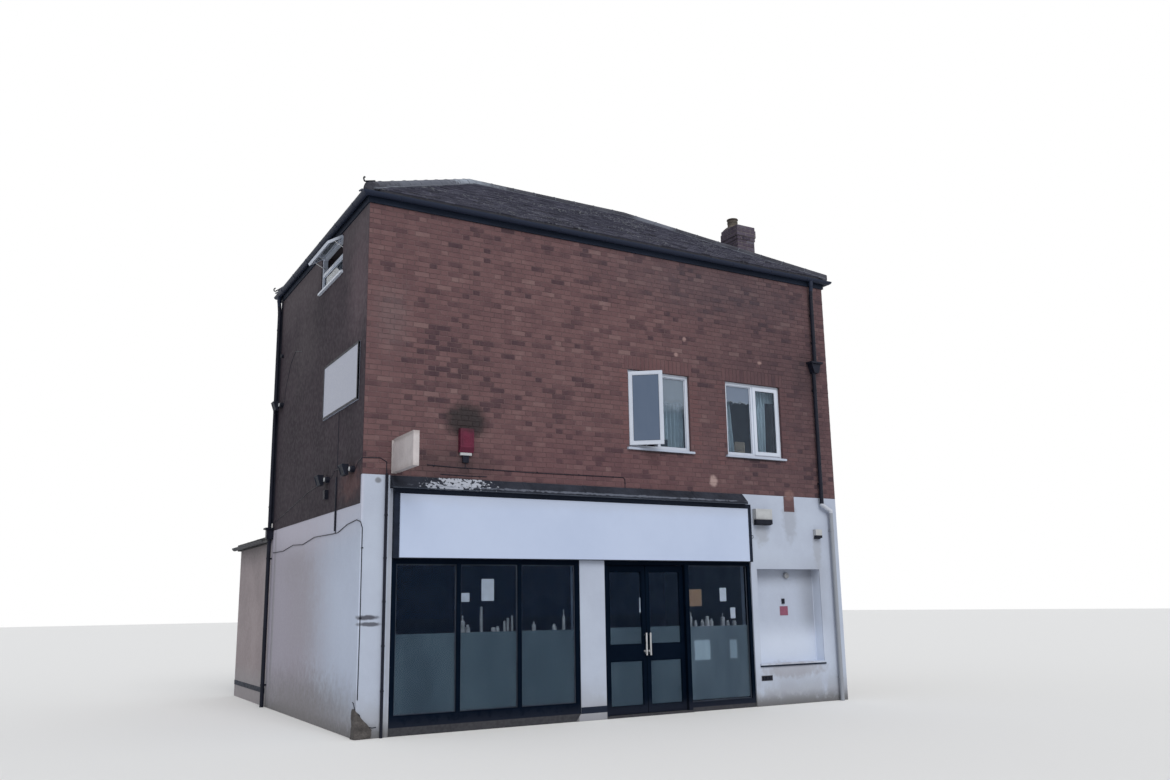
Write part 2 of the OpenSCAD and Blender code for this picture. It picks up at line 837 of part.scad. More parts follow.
module window_glass() {
    pane_y = frame_setback + (frame_d - pane_t) / 2;
    side_x = side_frame_setback + (frame_d - pane_t) / 2;
    rear_y = wall_d - pane_y - pane_t;
    right_x = window_left_x + 2 * frame_w + light_w;
    color("lightsteelblue", 0.5) placed() {
        block([right_x, pane_y, window_z + frame_w], [light_w, pane_t, light_h]);
        block([window_right_x + frame_w, pane_y, window_z + frame_w], [light_w, pane_t, light_h]);
        for (x = front_windows)
            for (i = [0, 1])
                block([x + frame_w + i * (light_w + frame_w), rear_y, window_z + frame_w],
                    [light_w, pane_t, light_h]);
        block([side_x, side_window_y + frame_w, side_window_z + frame_w],
            [pane_t, side_light_w, side_light_h]);
        closed_sash_place() sash_pane(casement_w, casement_h);
        casement_place() sash_pane(casement_w, casement_h);
        fanlight_place() sash_pane(side_light_w + 2 * sash_lap, fanlight_sash_h);
    }
}

module window_sills() {
    color("white") placed()
        for (x = front_windows) {
            block([x - sill_out, -sill_out, window_z - sill_t], [window_w + 2 * sill_out, sill_out, sill_t]);
            block([x - sill_out, wall_d, window_z - sill_t], [window_w + 2 * sill_out, sill_out, sill_t]);
        }
}

// Roof: two crossing prisms give four equal slopes. The edge lies out past the walls by
// the overhang, and its upper arris is at the height edge_z.
module hip_solid(out, base_z, edge_z) {
    top_z = edge_z + (half_d + out) * tan(pitch);
    intersection() {
        translate([-out, 0, 0]) rotate([90, 0, 90]) linear_extrude(wall_w + 2 * out)
            polygon([[-out, base_z], [wall_d + out, base_z], [wall_d + out, edge_z],
                [half_d, top_z], [-out, edge_z]]);
        translate([0, wall_d + out, 0]) rotate([90, 0, 0]) linear_extrude(wall_d + 2 * out)
            polygon([[-out, base_z], [wall_w + out, base_z], [wall_w + out, edge_z],
                [wall_w - half_d, top_z], [half_d, top_z], [-out, edge_z]]);
    }
}

module roof() {
    inner_edge_z = eave_z - roof_t + (wall_t + tile_out) * tan(pitch);
    color("dimgray") placed() difference() {
        hip_solid(tile_out, wall_top, eave_z);
        hip_solid(-wall_t, wall_top - through, inner_edge_z);
        block([stack_x, stack_y, wall_top - through], [stack_w, stack_d, stack_top - wall_top]);
    }
}

// Half-round capping along the ridge and down the hips, bedded on the slopes
module ridge_tiles() {
    axis_z = ridge_z - ridge_drop;
    hip_run = (half_d + tile_out) * sqrt(2);
    hip_rise = (half_d + tile_out) * tan(pitch);
    hip_len = sqrt(hip_run * hip_run + hip_rise * hip_rise);
    hip_slope = atan2(hip_rise, hip_run);
    capping_out = tile_out + capping_lip;
    color("gray") placed() difference() {
        intersection() {
            block([-capping_out, -capping_out, wall_top],
                [wall_w + 2 * capping_out, wall_d + 2 * capping_out, ridge_z]);
            union() {
                translate([half_d, half_d, axis_z]) rotate([0, 90, 0])
                    cylinder(d = ridge_d, h = wall_w - wall_d, $fn = 48);
                for (corner = [[0, -135], [0, 135], [1, -45], [1, 45]])
                    translate([corner[0] ? wall_w - half_d : half_d, half_d, axis_z])
                        rotate([0, 0, corner[1]]) rotate([0, 90 + hip_slope, 0])
                            cylinder(d = ridge_d, h = hip_len, $fn = 48);
                for (x = [half_d, wall_w - half_d])
                    translate([x, half_d, axis_z]) sphere(d = ridge_d + 2, $fn = 48);
            }
        }
        hip_solid(tile_out, wall_top - ridge_d, eave_z);
    }
}

// Chimney
module chimney_stack() {
    corbels = [1, 2, 2, 1];
    color("firebrick") placed() {
        block([stack_x, stack_y, wall_top],
            [stack_w, stack_d, stack_top - len(corbels) * course_h - wall_top]);
        for (i = [0:len(corbels) - 1]) {
            out = corbels[i] * course_out;
            block([stack_x - out, stack_y - out, stack_top - (len(corbels) - i) * course_h],
                [stack_w + 2 * out, stack_d + 2 * out, course_h]);
        }
        intersection() {
            translate(pot_place) rotate_extrude($fn = 48)
                polygon([[pot_d / 2, 0], [stack_d / 2, 0], [pot_d / 2, flaunch_h]]);
            block([stack_x, stack_y, stack_top], [stack_w, stack_d, flaunch_h]);
        }
    }
}

module chimney_pot() {
    color("indianred") placed() translate(pot_place) difference() {
        union() {
            cylinder(d = pot_d, h = pot_h, $fn = 48);
            translate([0, 0, pot_h - pot_wall]) cylinder(d = pot_d + pot_wall, h = pot_wall, $fn = 48);
        }
        translate([0, 0, pot_wall]) cylinder(d = pot_d - 2 * pot_wall, h = pot_h, $fn = 48);
    }
}

// Eaves
module eaves_boards() {
    color("black") placed() difference() {
        block([-eaves_board_t, -eaves_board_t, wall_top - eaves_board_h],
            [wall_w + 2 * eaves_board_t, wall_d + 2 * eaves_board_t, eaves_board_h]);
        block([0, 0, wall_top - eaves_board_h - through], [wall_w, wall_d, eaves_board_h + 2 * through]);
    }
}

// A half-round channel along X, its inner edge on the line y = 0 and its rim at z = 0
module gutter_run(length) {
    rotate([90, 0, 90]) linear_extrude(length) translate([-gutter_d / 2, 0]) difference() {
        circle(d = gutter_d, $fn = 48);
        circle(d = gutter_d - 2 * gutter_wall, $fn = 48);
        translate([-gutter_d, 0]) square([2 * gutter_d, gutter_d]);
    }
}

// One side's gutter, cut to a mitre at both ends, for a side of the given length
module mitred_gutter(length) {
    full = length + 2 * gutter_out;
    intersection() {
        translate([-gutter_out, -eaves_board_t, 0]) gutter_run(full);
        translate([0, 0, -gutter_d]) linear_extrude(2 * gutter_d)
            polygon([[-gutter_out, -gutter_out], [length + gutter_out, -gutter_out],
                [length, 0], [0, 0]]);
    }
}

// Four mitred runs under the main roof's eaves, and one along the store's open side
module gutters() {
    color("black") placed() {
        translate([0, 0, wall_top - gutter_drop]) {
            mitred_gutter(wall_w);
            translate([wall_w, 0, 0]) rotate([0, 0, 90]) mitred_gutter(wall_d);
            translate([wall_w, wall_d, 0]) rotate([0, 0, 180]) mitred_gutter(wall_w);
            translate([0, wall_d, 0]) rotate([0, 0, -90]) mitred_gutter(wall_d);
        }
        translate([-store_roof_out, rear_reach, store_h + store_roof_t / 2]) rotate([0, 0, -90])
            gutter_run(store_d + store_roof_out - store_gutter_gap);
    }
}

// A pipe between two points with a collar at its start
module pipe(from, to, d) {
    run = to - from;
    length = norm(run);
    turn = atan2(run[1], run[0]);
    tilt = acos(run[2] / length);
    translate(from) rotate([0, tilt, turn]) cylinder(d = d, h = length, $fn = 32);
}

module pipe_run(points, d) {
    for (i = [0:len(points) - 2])
        pipe(points[i], points[i + 1], d);
    for (i = [1:len(points) - 2])
        translate(points[i]) sphere(d = d + collar_extra, $fn = 32);
}

// A tapered hopper head against a wall, its back on the line y = 0, centred on x = 0
module hopper(width) {
    rim_half = width / 2 - hopper_rim;
    foot_half = (pipe_d + hopper_rim) / 2;
    translate([-width / 2, -hopper_d, -hopper_rim]) cube([width, hopper_d, hopper_rim]);
    rotate([90, 0, 0]) linear_extrude(hopper_d - hopper_rim)
        polygon([[-rim_half, -hopper_rim], [rim_half, -hopper_rim],
            [foot_half, -hopper_h], [-foot_half, -hopper_h]]);
}

// A socket under a gutter, coped to the gutter's round underside
module socket(x, z) {
    axis = [x, -eaves_board_t - gutter_d / 2, wall_top - gutter_drop];
    difference() {
        translate([x, axis[1], z]) cylinder(d = pipe_d + collar_extra, h = axis[2] - z, $fn = 32);
        translate(axis) rotate([0, 90, 0]) cylinder(d = gutter_d, h = 2 * gutter_d, center = true, $fn = 48);
        block([x - gutter_d, axis[1] - gutter_d, axis[2] - through], 2 * [gutter_d, gutter_d, through]);
    }
}

// Two clips that hold a pipe's straight run against a wall on the line y = 0
module clips(x, low_z, high_z) {
    clip_w = pipe_d + collar_extra;
    for (z = [low_z + clip_inset, high_z - clip_inset]) {
        translate([x, -pipe_out, z]) cylinder(d = clip_w, h = clip_h, $fn = 32);
        block([x - pipe_d / 4, -pipe_out, z], [pipe_d / 2, pipe_out, clip_h]);
    }
}

module downpipes() {
    outlet_z = wall_top - gutter_drop - gutter_d / 2 - socket_len;
    outlet = eaves_board_t + gutter_d / 2;
    upper_x = wall_w - front_pipe_x;
    lower_x = upper_x - hopper_shift;
    end_x = lower_x + foot_shift;
    side_y = wall_d - pipe_d;
    under_hopper_z = hopper_z - hopper_h + hopper_rim;
    elbow_z = front_white_h - elbow_drop;
    color("black") placed() {
        socket(upper_x, outlet_z);
        pipe_run([[upper_x, -outlet, outlet_z], [upper_x, -pipe_out, outlet_z - neck_h],
            [upper_x, -pipe_out, hopper_z - hopper_rim]], pipe_d);
        translate([upper_x - hopper_shift / 2, 0, hopper_z]) hopper(hopper_w);
        pipe_run([[lower_x, -pipe_out, under_hopper_z], [lower_x, -pipe_out, elbow_z],
            [end_x, -pipe_out, elbow_z - neck_h / 2], [end_x, -pipe_out, 0]], pipe_d);
        clips(upper_x, hopper_z, outlet_z - neck_h);
        clips(lower_x, elbow_z, under_hopper_z);
        clips(end_x, 0, elbow_z - neck_h / 2);
        translate([0, side_y, 0]) rotate([0, 0, -90]) {
            socket(0, outlet_z);
            pipe_run([[0, -outlet, outlet_z], [0, -pipe_out, outlet_z - neck_h], [0, -pipe_out, 0]], pipe_d);
            translate([0, 0, side_hopper_z]) hopper(side_hopper_w);
            clips(0, side_hopper_z, outlet_z - neck_h);
            clips(0, 0, side_hopper_z - hopper_h);
        }
        conduit();
    }
}

// The upright conduit on the left pier, held off the wall by saddles
module conduit() {
    out = conduit_d / 2 + collar_extra;
    translate([conduit_x, -out, 0]) cylinder(d = conduit_d, h = conduit_h, $fn = 32);
    for (i = [1:conduit_saddles])
        translate([conduit_x, 0, i * conduit_h / (conduit_saddles + 1)]) {
            translate([0, -out, 0]) cylinder(d = conduit_d + collar_extra, h = saddle_h, $fn = 32);
            block([-conduit_d / 4, -out, 0], [conduit_d / 2, out, saddle_h]);
        }
}

// Fittings
module projecting_sign() {
    blade_z = front_white_h + blade_rise;
    color("beige") placed() {
        block([blade_x, -blade_reach, blade_z], [blade_t, blade_len, blade_h]);
        block([blade_x, -blade_plate_t, blade_z], [blade_t, blade_plate_t, blade_h]);
        for (level = [1, 5])
            translate([blade_x + blade_t / 2, 0, blade_z + level * blade_h / 6])
                rotate([90, 0, 0]) cylinder(d = blade_arm_d, h = blade_gap + through, $fn = 32);
    }
}

// A box whose lower part slopes back to the wall, with rounded front edges
module bell_box() {
    bell_z = front_white_h + bell_rise;
    corner_r = bell_d / 4;
    color("crimson") placed() intersection() {
        translate([bell_x, 0, bell_z]) rotate([90, 0, 90]) linear_extrude(bell_w)
            polygon([[0, 0], [-bell_d / 2, 0], [-bell_d, bell_taper], [-bell_d, bell_h], [0, bell_h]]);
        translate([bell_x, 0, bell_z]) linear_extrude(bell_h) union() {
            translate([0, corner_r - bell_d]) square([bell_w, bell_d - corner_r]);
            translate([corner_r, -bell_d]) square([bell_w - 2 * corner_r, bell_d]);
            for (x = [corner_r, bell_w - corner_r])
                translate([x, corner_r - bell_d]) circle(r = corner_r, $fn = 32);
        }
    }
}

module alarm_boxes() {
    color("white") placed() {
        block([right_wall_x + alarm_gap, -alarm_d, front_white_h - alarm_drop],
            [alarm_w, alarm_d, alarm_h]);
        block([wall_w - small_alarm_x, -small_alarm / 2, front_white_h - small_alarm_drop],
            [small_alarm, small_alarm / 2, small_alarm]);
    }
}

// A lamp on an arm, its head deeper at its top so that the glass looks down
module lamp_head() {
    block([-flood_arm, -flood_arm_t / 2, -flood_arm_t / 2], [flood_arm, flood_arm_t, flood_arm_t]);
    translate([-flood_arm, flood_w / 2, 0]) rotate([90, 0, 0]) linear_extrude(flood_w)
        polygon([[0, -flood_h / 2], [0, flood_h / 2], [-flood_depth, flood_h / 2],
            [-flood_foot, -flood_h / 2]]);
}

// A round sensor that stands on the wall with a chamfered front
module sensor() {
    chamfer = sensor_depth / 4;
    rotate([0, -90, 0]) rotate_extrude($fn = 48)
        polygon([[0, 0], [sensor_d / 2, 0], [sensor_d / 2, sensor_depth - chamfer],
            [sensor_d / 2 - chamfer, sensor_depth], [0, sensor_depth]]);
}

// The lamps on the open side, each with its sensor towards the front, and their switch box
module floodlights() {
    switch_place = floodlight_places[1];
    color("black") placed() {
        for (place = floodlight_places)
            translate([0, place[0], place[1]]) {
                lamp_head();
                translate([0, -sensor_gap, 0]) sensor();
            }
        block([-switch_d, switch_place[0] - sensor_gap, switch_place[1] - switch_drop],
            [switch_d, switch_w, switch_h]);
    }
}

module side_sign() {
    color("white") placed()
        block([-side_sign_t, side_sign_y, side_sign_z], [side_sign_t, side_sign_w, side_sign_h]);
}

// Cables clipped to the walls: those of the lamps and the bell, and one along the white storey
module cables() {
    past_arm = flood_arm_t / 2 + cable_gap;
    past_sensor = sensor_gap + sensor_d / 2 + cable_gap;
    near_y = flood_near_y;
    far_y = flood_near_y + flood_spacing;
    rear_y = wall_d - flood_rear_gap;
    rear = flood_rear_z - side_white_h;
    pipe_y = wall_d - 160;
    beside = cable_d / 2 + cable_gap;
    level = 120;
    lead = 30;
    cross_y = 1170;
    cross = 590;
    low = -320;
    middle = bell_x + bell_w / 2;
    bell = 155;
    step = front_white_h - side_white_h;
    color("dimgray") placed() {
        cable([on_side(pipe_y, 130), on_side(4400, 210), on_side(3600, 320), on_side(2700, 440),
            on_side(far_y + past_arm + lead, flood_rise), on_side(far_y + past_arm, flood_rise)]);
        cable([on_side(far_y - past_sensor, flood_rise), on_side(far_y - past_sensor - lead, flood_rise),
            on_side(cross_y + level, cross), on_side(cross_y - level, cross),
            on_side(near_y + past_arm + lead, flood_rise), on_side(near_y + past_arm, flood_rise)]);
        cable([on_side(cross_y, side_sign_z - side_white_h - cable_gap),
            on_side(cross_y, cross + beside)]);
        cable([on_side(cross_y, cross - beside), on_side(cross_y + 10, 0),
            on_side(cross_y, low + beside)]);
        cable([on_side(near_y - past_sensor, flood_rise), on_side(near_y - past_sensor - lead, flood_rise),
            on_side(180, 570), on_side(-cable_out, 600), on_front(240, 610 - step),
            on_front(conduit_x, 560 - step),
            on_front(conduit_x, conduit_rise + cable_gap)]);
        cable([on_side(pipe_y, -390), on_side(4300, -400), on_side(3600, -340), on_side(3000, -370),
            on_side(2300, -300), on_side(cross_y + level, low), on_side(cross_y - level, low),
            on_side(600, -240), on_side(180, -210), on_side(-cable_out, -250),
            on_front(20, -330 - step), on_front(24, -1490 - step), on_front(18, -2510 - step)]);
        cable([on_side(rear_y - past_sensor, rear), on_side(rear_y - past_sensor - lead, rear),
            on_side(4640, rear + 230),
            on_side(4320, rear + 640), on_side(4000, rear + 800), on_side(3520, rear + 690)]);
        cable([on_front(900, bell + 15), on_front(middle - level, bell), on_front(middle + level, bell),
            on_front(2500, bell - 10), on_front(4080, bell), on_front(4110, bell - 30),
            on_front(4110, cable_gap)]);
        cable([on_front(middle, bell_rise - cable_gap), on_front(middle, bell + beside)]);
        cable([on_front(1100, 50), on_front(1500, 45), on_front(1800, 50)]);
    }
}

// A cable swept along its route with rounded bends
module cable(route) {
    path = bent(route);
    n = cable_sides;
    last = (len(path) - 1) * n;
    polyhedron(
        points = [for (i = [0:len(path) - 1]) each ring(path, i)],
        faces = [
            [for (k = [0:n - 1]) k],
            for (i = [0:len(path) - 2], k = [0:n - 1])
                [i * n + k, (i + 1) * n + k, (i + 1) * n + (k + 1) % n, i * n + (k + 1) % n],
            [for (k = [n - 1:-1:0]) last + k]
        ]);
}

// Rear store
module store_walls() {
    color("gainsboro") placed() difference() {
        block([0, wall_d, 0], [store_w, store_d, store_h]);
        block([store_t, wall_d - through, -through],
            [store_w - 2 * store_t, store_d - store_t + through, store_h + 2 * through]);
    }
}

module store_roof() {
    color("darkslategray") placed()
        block([-store_roof_out, wall_d, store_h],
            [store_w + 2 * store_roof_out, store_d + store_roof_out, store_roof_t]);
}

side_wall_lower();
side_wall_upper();
front_wall();
front_pier_left();
front_wall_right();
shop_pilaster();
shopfront_beam();
rear_wall();
party_wall();
ground_floor();
first_floor();
shop_plinth();
shop_window_frame();
shop_glass();
entrance_frame();
door_left();
door_left_glass();
door_left_handle();
door_right();
door_right_glass();
door_right_handle();
fascia_box();
sign_board();
fascia_flashing();
front_window_frames();
open_casement();
rear_window_frames();
side_window_frame();
side_fanlight();
window_glass();
window_sills();
roof();
ridge_tiles();
chimney_stack();
chimney_pot();
eaves_boards();
gutters();
downpipes();
projecting_sign();
bell_box();
alarm_boxes();
floodlights();
side_sign();
cables();
store_walls();
store_roof();
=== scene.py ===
"""Looks of a two-storey corner shop building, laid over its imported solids.

Sizes are metres in wall coordinates: the origin is the foot of the open front corner, x runs
along the front, y to the rear and z up. Each finished piece is moved from there into the frame
of the part.
"""

import logging
import math
from contextlib import contextmanager
from dataclasses import dataclass
from enum import Enum
from typing import Callable, Iterator, Sequence

import bpy
import numpy as np
from mathutils import Matrix, Vector

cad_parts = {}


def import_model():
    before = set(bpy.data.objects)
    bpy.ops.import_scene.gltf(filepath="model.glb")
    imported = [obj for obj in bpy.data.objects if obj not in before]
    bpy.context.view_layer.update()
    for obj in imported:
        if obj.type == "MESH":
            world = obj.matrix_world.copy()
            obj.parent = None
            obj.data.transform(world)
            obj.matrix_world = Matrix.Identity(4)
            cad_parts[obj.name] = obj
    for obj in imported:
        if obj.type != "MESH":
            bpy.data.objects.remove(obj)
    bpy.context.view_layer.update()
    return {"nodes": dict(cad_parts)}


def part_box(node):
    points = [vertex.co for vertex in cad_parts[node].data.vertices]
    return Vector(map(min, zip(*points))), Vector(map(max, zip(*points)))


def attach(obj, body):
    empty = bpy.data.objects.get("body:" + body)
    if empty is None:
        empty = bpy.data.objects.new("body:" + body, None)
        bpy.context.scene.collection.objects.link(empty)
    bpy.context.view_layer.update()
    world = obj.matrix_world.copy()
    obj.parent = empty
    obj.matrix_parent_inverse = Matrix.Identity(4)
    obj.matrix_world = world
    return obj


log = logging.getLogger("corner_shop")

Point = tuple[float, float, float]
Colour = tuple[float, float, float]
Edges = tuple[float, float, float, float]
Place = Sequence[float]
Rule = Callable[[Vector, Vector], bool]
Socket = bpy.types.NodeSocket

X, Y, Z = Vector((1, 0, 0)), Vector((0, 1, 0)), Vector((0, 0, 1))


class Body(Enum):
    """The moving bodies of the part."""

    BUILDING = "building"
    LEFT_DOOR = "left_door"
    RIGHT_DOOR = "right_door"


class Pick(Enum):
    """What an edit acts on."""

    VERTEX = (True, False, False)
    EDGE = (False, True, False)
    FACE = (False, False, True)


class Site:
    """Where the wall coordinates lie in the frame of the part."""

    origin = Vector((0.0, 0.0, 0.0))

    @classmethod
    def find(cls) -> None:
        """Takes the foot of the open front corner from the front wall."""
        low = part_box("front_wall")[0]
        cls.origin = Vector((low.x, low.y, 0.0))


def deselect() -> None:
    """Leaves nothing selected."""
    for obj in bpy.context.selected_objects:
        obj.select_set(False)


def activate(obj: bpy.types.Object) -> None:
    """Makes one object the selected and active one.

    Args:
        obj: The object.
    """
    deselect()
    obj.select_set(True)
    bpy.context.view_layer.objects.active = obj


@contextmanager
def editing(obj: bpy.types.Object, pick: Pick) -> Iterator[None]:
    """Opens a mesh for editing with what is selected on it, and closes it again.

    Args:
        obj: The mesh object.
        pick: What the edit acts on.
    """
    activate(obj)
    bpy.context.tool_settings.mesh_select_mode = pick.value
    bpy.ops.object.mode_set(mode="EDIT")
    try:
        yield
    finally:
        bpy.ops.object.mode_set(mode="OBJECT")


def facing(along: Vector) -> Matrix:
    """Turns x to run along a wall as seen from outside, with y into the wall and z up."""
    return Matrix((along, Z.cross(along), Z)).transposed()


class Piece:
    """One mesh, shaped with Blender's operators as by hand."""

    def __init__(self, obj: bpy.types.Object) -> None:
        """Wraps a mesh object."""
        self.obj = obj

    @classmethod
    def added(cls, turn: Matrix | None = None, scale: Point = (1, 1, 1)) -> "Piece":
        """Takes the primitive that was just added, with its place kept in its mesh.

        Args:
            turn: Rotation to give it, about its own middle.
            scale: Scale to give it along its own axes, before the turn.

        Returns:
            The piece.
        """
        obj = bpy.context.active_object
        obj.scale = scale
        if turn is not None:
            obj.rotation_euler = turn.to_euler()
        bpy.ops.object.transform_apply(location=True, rotation=True, scale=True)
        return cls(obj)

    @classmethod
    def block(cls, low: Place, high: Place, bevel: float = 0.0, segments: int = 1) -> "Piece":
        """Adds a box between two corners.

        Args:
            low: Lowest corner.
            high: Highest corner.
            bevel: Width of the bevel round it, or 0 for none.
            segments: Number of the bevel's segments.

        Returns:
            The piece.
        """
        low, high = Vector(low), Vector(high)
        deselect()
        bpy.ops.mesh.primitive_cube_add(size=1, location=(low + high) / 2)
        piece = cls.added(scale=tuple(high - low))
        return piece.bevel(bevel, segments) if bevel else piece

    @classmethod
    def rod(cls, start: Place, end: Place, radius: float, sides: int = 16) -> "Piece":
        """Adds a round rod between two points.

        Args:
            start: Middle of one end.
            end: Middle of the other end.
            radius: Radius of the rod.
            sides: Number of sides.

        Returns:
            The piece.
        """
        start, end = Vector(start), Vector(end)
        way = end - start
        deselect()
        bpy.ops.mesh.primitive_cylinder_add(vertices=sides, radius=radius, depth=way.length,
                                            location=(start + end) / 2)
        return cls.added(way.to_track_quat("Z", "Y").to_matrix())

    @classmethod
    def ring(cls, centre: Place, axis: Place, radius: float, thickness: float,
             sides: int = 24) -> "Piece":
        """Adds a round ring.

        Args:
            centre: Middle of the ring.
            axis: Direction of its axis.
            radius: Radius of the middle line of the ring.
            thickness: Radius of the ring's own section.
            sides: Number of sides round the ring.

        Returns:
            The piece.
        """
        deselect()
        bpy.ops.mesh.primitive_torus_add(major_radius=radius, minor_radius=thickness,
                                         major_segments=sides, minor_segments=8,
                                         location=Vector(centre))
        return cls.added(Vector(axis).to_track_quat("Z", "Y").to_matrix())

    @classmethod
    def grid(cls, columns: int, rows: int, scale: Point = (1, 1, 1)) -> "Piece":
        """Adds a flat grid a metre wide and long, and scales it.

        Args:
            columns: Number of its cells along x.
            rows: Number of its cells along y.
            scale: Scale along each axis.

        Returns:
            The piece.
        """
        deselect()
        bpy.ops.mesh.primitive_grid_add(x_subdivisions=columns, y_subdivisions=rows, size=1)
        return cls.added(scale=scale)

    @property
    def corners(self) -> int:
        """Gives the number of vertices."""
        return len(self.obj.data.vertices)

    def remove(self) -> None:
        """Deletes the piece from the scene."""
        bpy.data.objects.remove(self.obj)

    def clear(self) -> bpy.types.Mesh:
        """Selects nothing of the mesh.

        Returns:
            The mesh.
        """
        mesh = self.obj.data
        for part in (mesh.vertices, mesh.edges, mesh.polygons):
            part.foreach_set("select", [False] * len(part))
        return mesh

    def pick_faces(self, rule: Rule) -> "Piece":
        """Selects the faces for which the rule holds.

        Args:
            rule: Takes the middle and the normal of a face.

        Returns:
            The piece itself.
        """
        for face in self.clear().polygons:
            face.select = bool(rule(face.center, face.normal))
        return self

    def pick_edges(self, rule: Rule) -> "Piece":
        """Selects the edges for which the rule holds.

        Args:
            rule: Takes the middle and the direction of an edge.

        Returns:
            The piece itself.
        """
        mesh = self.clear()
        for edge in mesh.edges:
            a, b = (mesh.vertices[i].co for i in edge.vertices)
            edge.select = bool(rule((a + b) / 2, (b - a).normalized()))
        return self

    def edit(self, pick: Pick, tool: Callable, whole: bool = False, **values: object) -> "Piece":
        """Runs one editing operator on what is selected.

        Args:
            pick: What the operator acts on.
            tool: The operator.
            whole: Whether the whole mesh is selected first.
            **values: The operator's settings.

        Returns:
            The piece itself.
        """
        with editing(self.obj, pick):
            if whole:
                bpy.ops.mesh.select_all(action="SELECT")
            tool(**values)
        return self

    def inset(self, width: float, depth: float = 0.0) -> "Piece":
        """Insets the selected faces, and raises the inner face where a depth is given."""
        return self.edit(Pick.FACE, bpy.ops.mesh.inset, thickness=width, depth=depth,
                         use_even_offset=True)

    def extrude(self, way: Place) -> "Piece":
        """Extrudes the selected faces by a direction and distance."""
        return self.edit(Pick.FACE, bpy.ops.mesh.extrude_region_move,
                         TRANSFORM_OT_translate={"value": tuple(way)})

    def bevel_edges(self, width: float, segments: int = 1) -> "Piece":
        """Bevels the selected edges."""
        return self.edit(Pick.EDGE, bpy.ops.mesh.bevel, offset=width, segments=segments,
                         affect="EDGES")

    def slice(self, point: Place, normal: Place, keep_front: bool = True) -> "Piece":
        """Cuts the mesh with a plane and closes it, keeping the side that the normal shows."""
        return self.edit(Pick.FACE, bpy.ops.mesh.bisect, True, plane_co=tuple(point),
                         plane_no=tuple(normal), use_fill=True, clear_inner=keep_front,
                         clear_outer=not keep_front)

    def merge(self) -> "Piece":
        """Merges doubled vertices and turns all faces outwards."""
        self.edit(Pick.VERTEX, bpy.ops.mesh.remove_doubles, True, threshold=1e-5)
        return self.edit(Pick.VERTEX, bpy.ops.mesh.normals_make_consistent, True, inside=False)

    def drop(self, gone: np.ndarray) -> "Piece":
        """Deletes the vertices for which the value is true."""
        self.clear().vertices.foreach_set("select", gone)
        return self.edit(Pick.VERTEX, bpy.ops.mesh.delete, type="VERT")

    def modifier(self, kind: str, **values: object) -> "Piece":
        """Adds a modifier and applies it.

        Args:
            kind: Type of the modifier.
            **values: Its settings.

        Returns:
            The piece itself.
        """
        activate(self.obj)
        mod = self.obj.modifiers.new(kind.lower(), kind)
        for key, value in values.items():
            setattr(mod, key, value)
        bpy.ops.object.modifier_apply(modifier=mod.name)
        return self

    def bevel(self, width: float, segments: int = 2, angle: float = 40.0) -> "Piece":
        """Rounds all edges sharper than an angle in degrees."""
        return self.modifier("BEVEL", width=width, segments=segments, limit_method="ANGLE",
                             angle_limit=math.radians(angle))

    def row(self, step: Place, count: int) -> "Piece":
        """Repeats the mesh in a row, one step after the other."""
        return self.modifier("ARRAY", count=count, use_relative_offset=False,
                             use_constant_offset=True, constant_offset_displace=tuple(step))

    def cut_out(self, low: Place, high: Place) -> "Piece":
        """Cuts the space between two corners out of the piece.

        Args:
            low: Lowest corner.
            high: Highest corner.

        Returns:
            The piece itself.
        """
        other = Piece.block(low, high)
        self.modifier("BOOLEAN", operation="DIFFERENCE", solver="EXACT", object=other.obj)
        other.remove()
        return self

    def copy(self, shift: Place = (0, 0, 0), turn: Matrix | None = None) -> "Piece":
        """Copies the piece with a mesh of its own.

        Args:
            shift: Distance to move the copy by.
            turn: Matrix to apply to the copy before the shift.

        Returns:
            The copy.
        """
        obj = self.obj.copy()
        obj.data = self.obj.data.copy()
        bpy.context.scene.collection.objects.link(obj)
        return Piece(obj).move(shift, turn)

    def move(self, shift: Place, turn: Matrix | None = None) -> "Piece":
        """Turns and moves the mesh.

        Args:
            shift: Distance to move by.
            turn: Matrix to apply first.

        Returns:
            The piece itself.
        """
        matrix = turn.to_4x4() if turn is not None else Matrix.Identity(4)
        self.obj.data.transform(Matrix.Translation(Vector(shift)) @ matrix)
        if matrix.determinant() < 0:
            self.obj.data.flip_normals()
        return self

    def join(self, *others: "Piece") -> "Piece":
        """Joins other pieces into this one.

        Args:
            *others: The pieces to join.

        Returns:
            The piece itself.
        """
        if others:
            activate(self.obj)
            for other in others:
                other.obj.select_set(True)
            bpy.ops.object.join()
        return self

    def smooth(self, angle: float = 35.0) -> "Piece":
        """Shades the mesh smooth across edges flatter than an angle in degrees.

        Args:
            angle: The angle.

        Returns:
            The piece itself.
        """
        activate(self.obj)
        bpy.ops.object.shade_smooth_by_angle(angle=math.radians(angle))
        return self

    def points(self) -> np.ndarray:
        """Reads the places of the vertices.

        Returns:
            One row for each vertex.
        """
        co = np.zeros(self.corners * 3)
        self.obj.data.vertices.foreach_get("co", co)
        return co.reshape(-1, 3)

    def place(self, points: np.ndarray) -> None:
        """Gives the vertices new places."""
        self.obj.data.vertices.foreach_set("co", points.ravel())
        self.obj.data.update()

    def mark(self, corners: int, **marks: np.ndarray) -> None:
        """Keeps the numbers of each brick or tile on its vertices.

        Args:
            corners: Number of vertices of one brick or tile.
            **marks: The numbers, one for each brick or tile.
        """
        for key, values in marks.items():
            layer = self.obj.data.attributes.new(key, "FLOAT", "POINT")
            layer.data.foreach_set("value", np.repeat(values, corners))

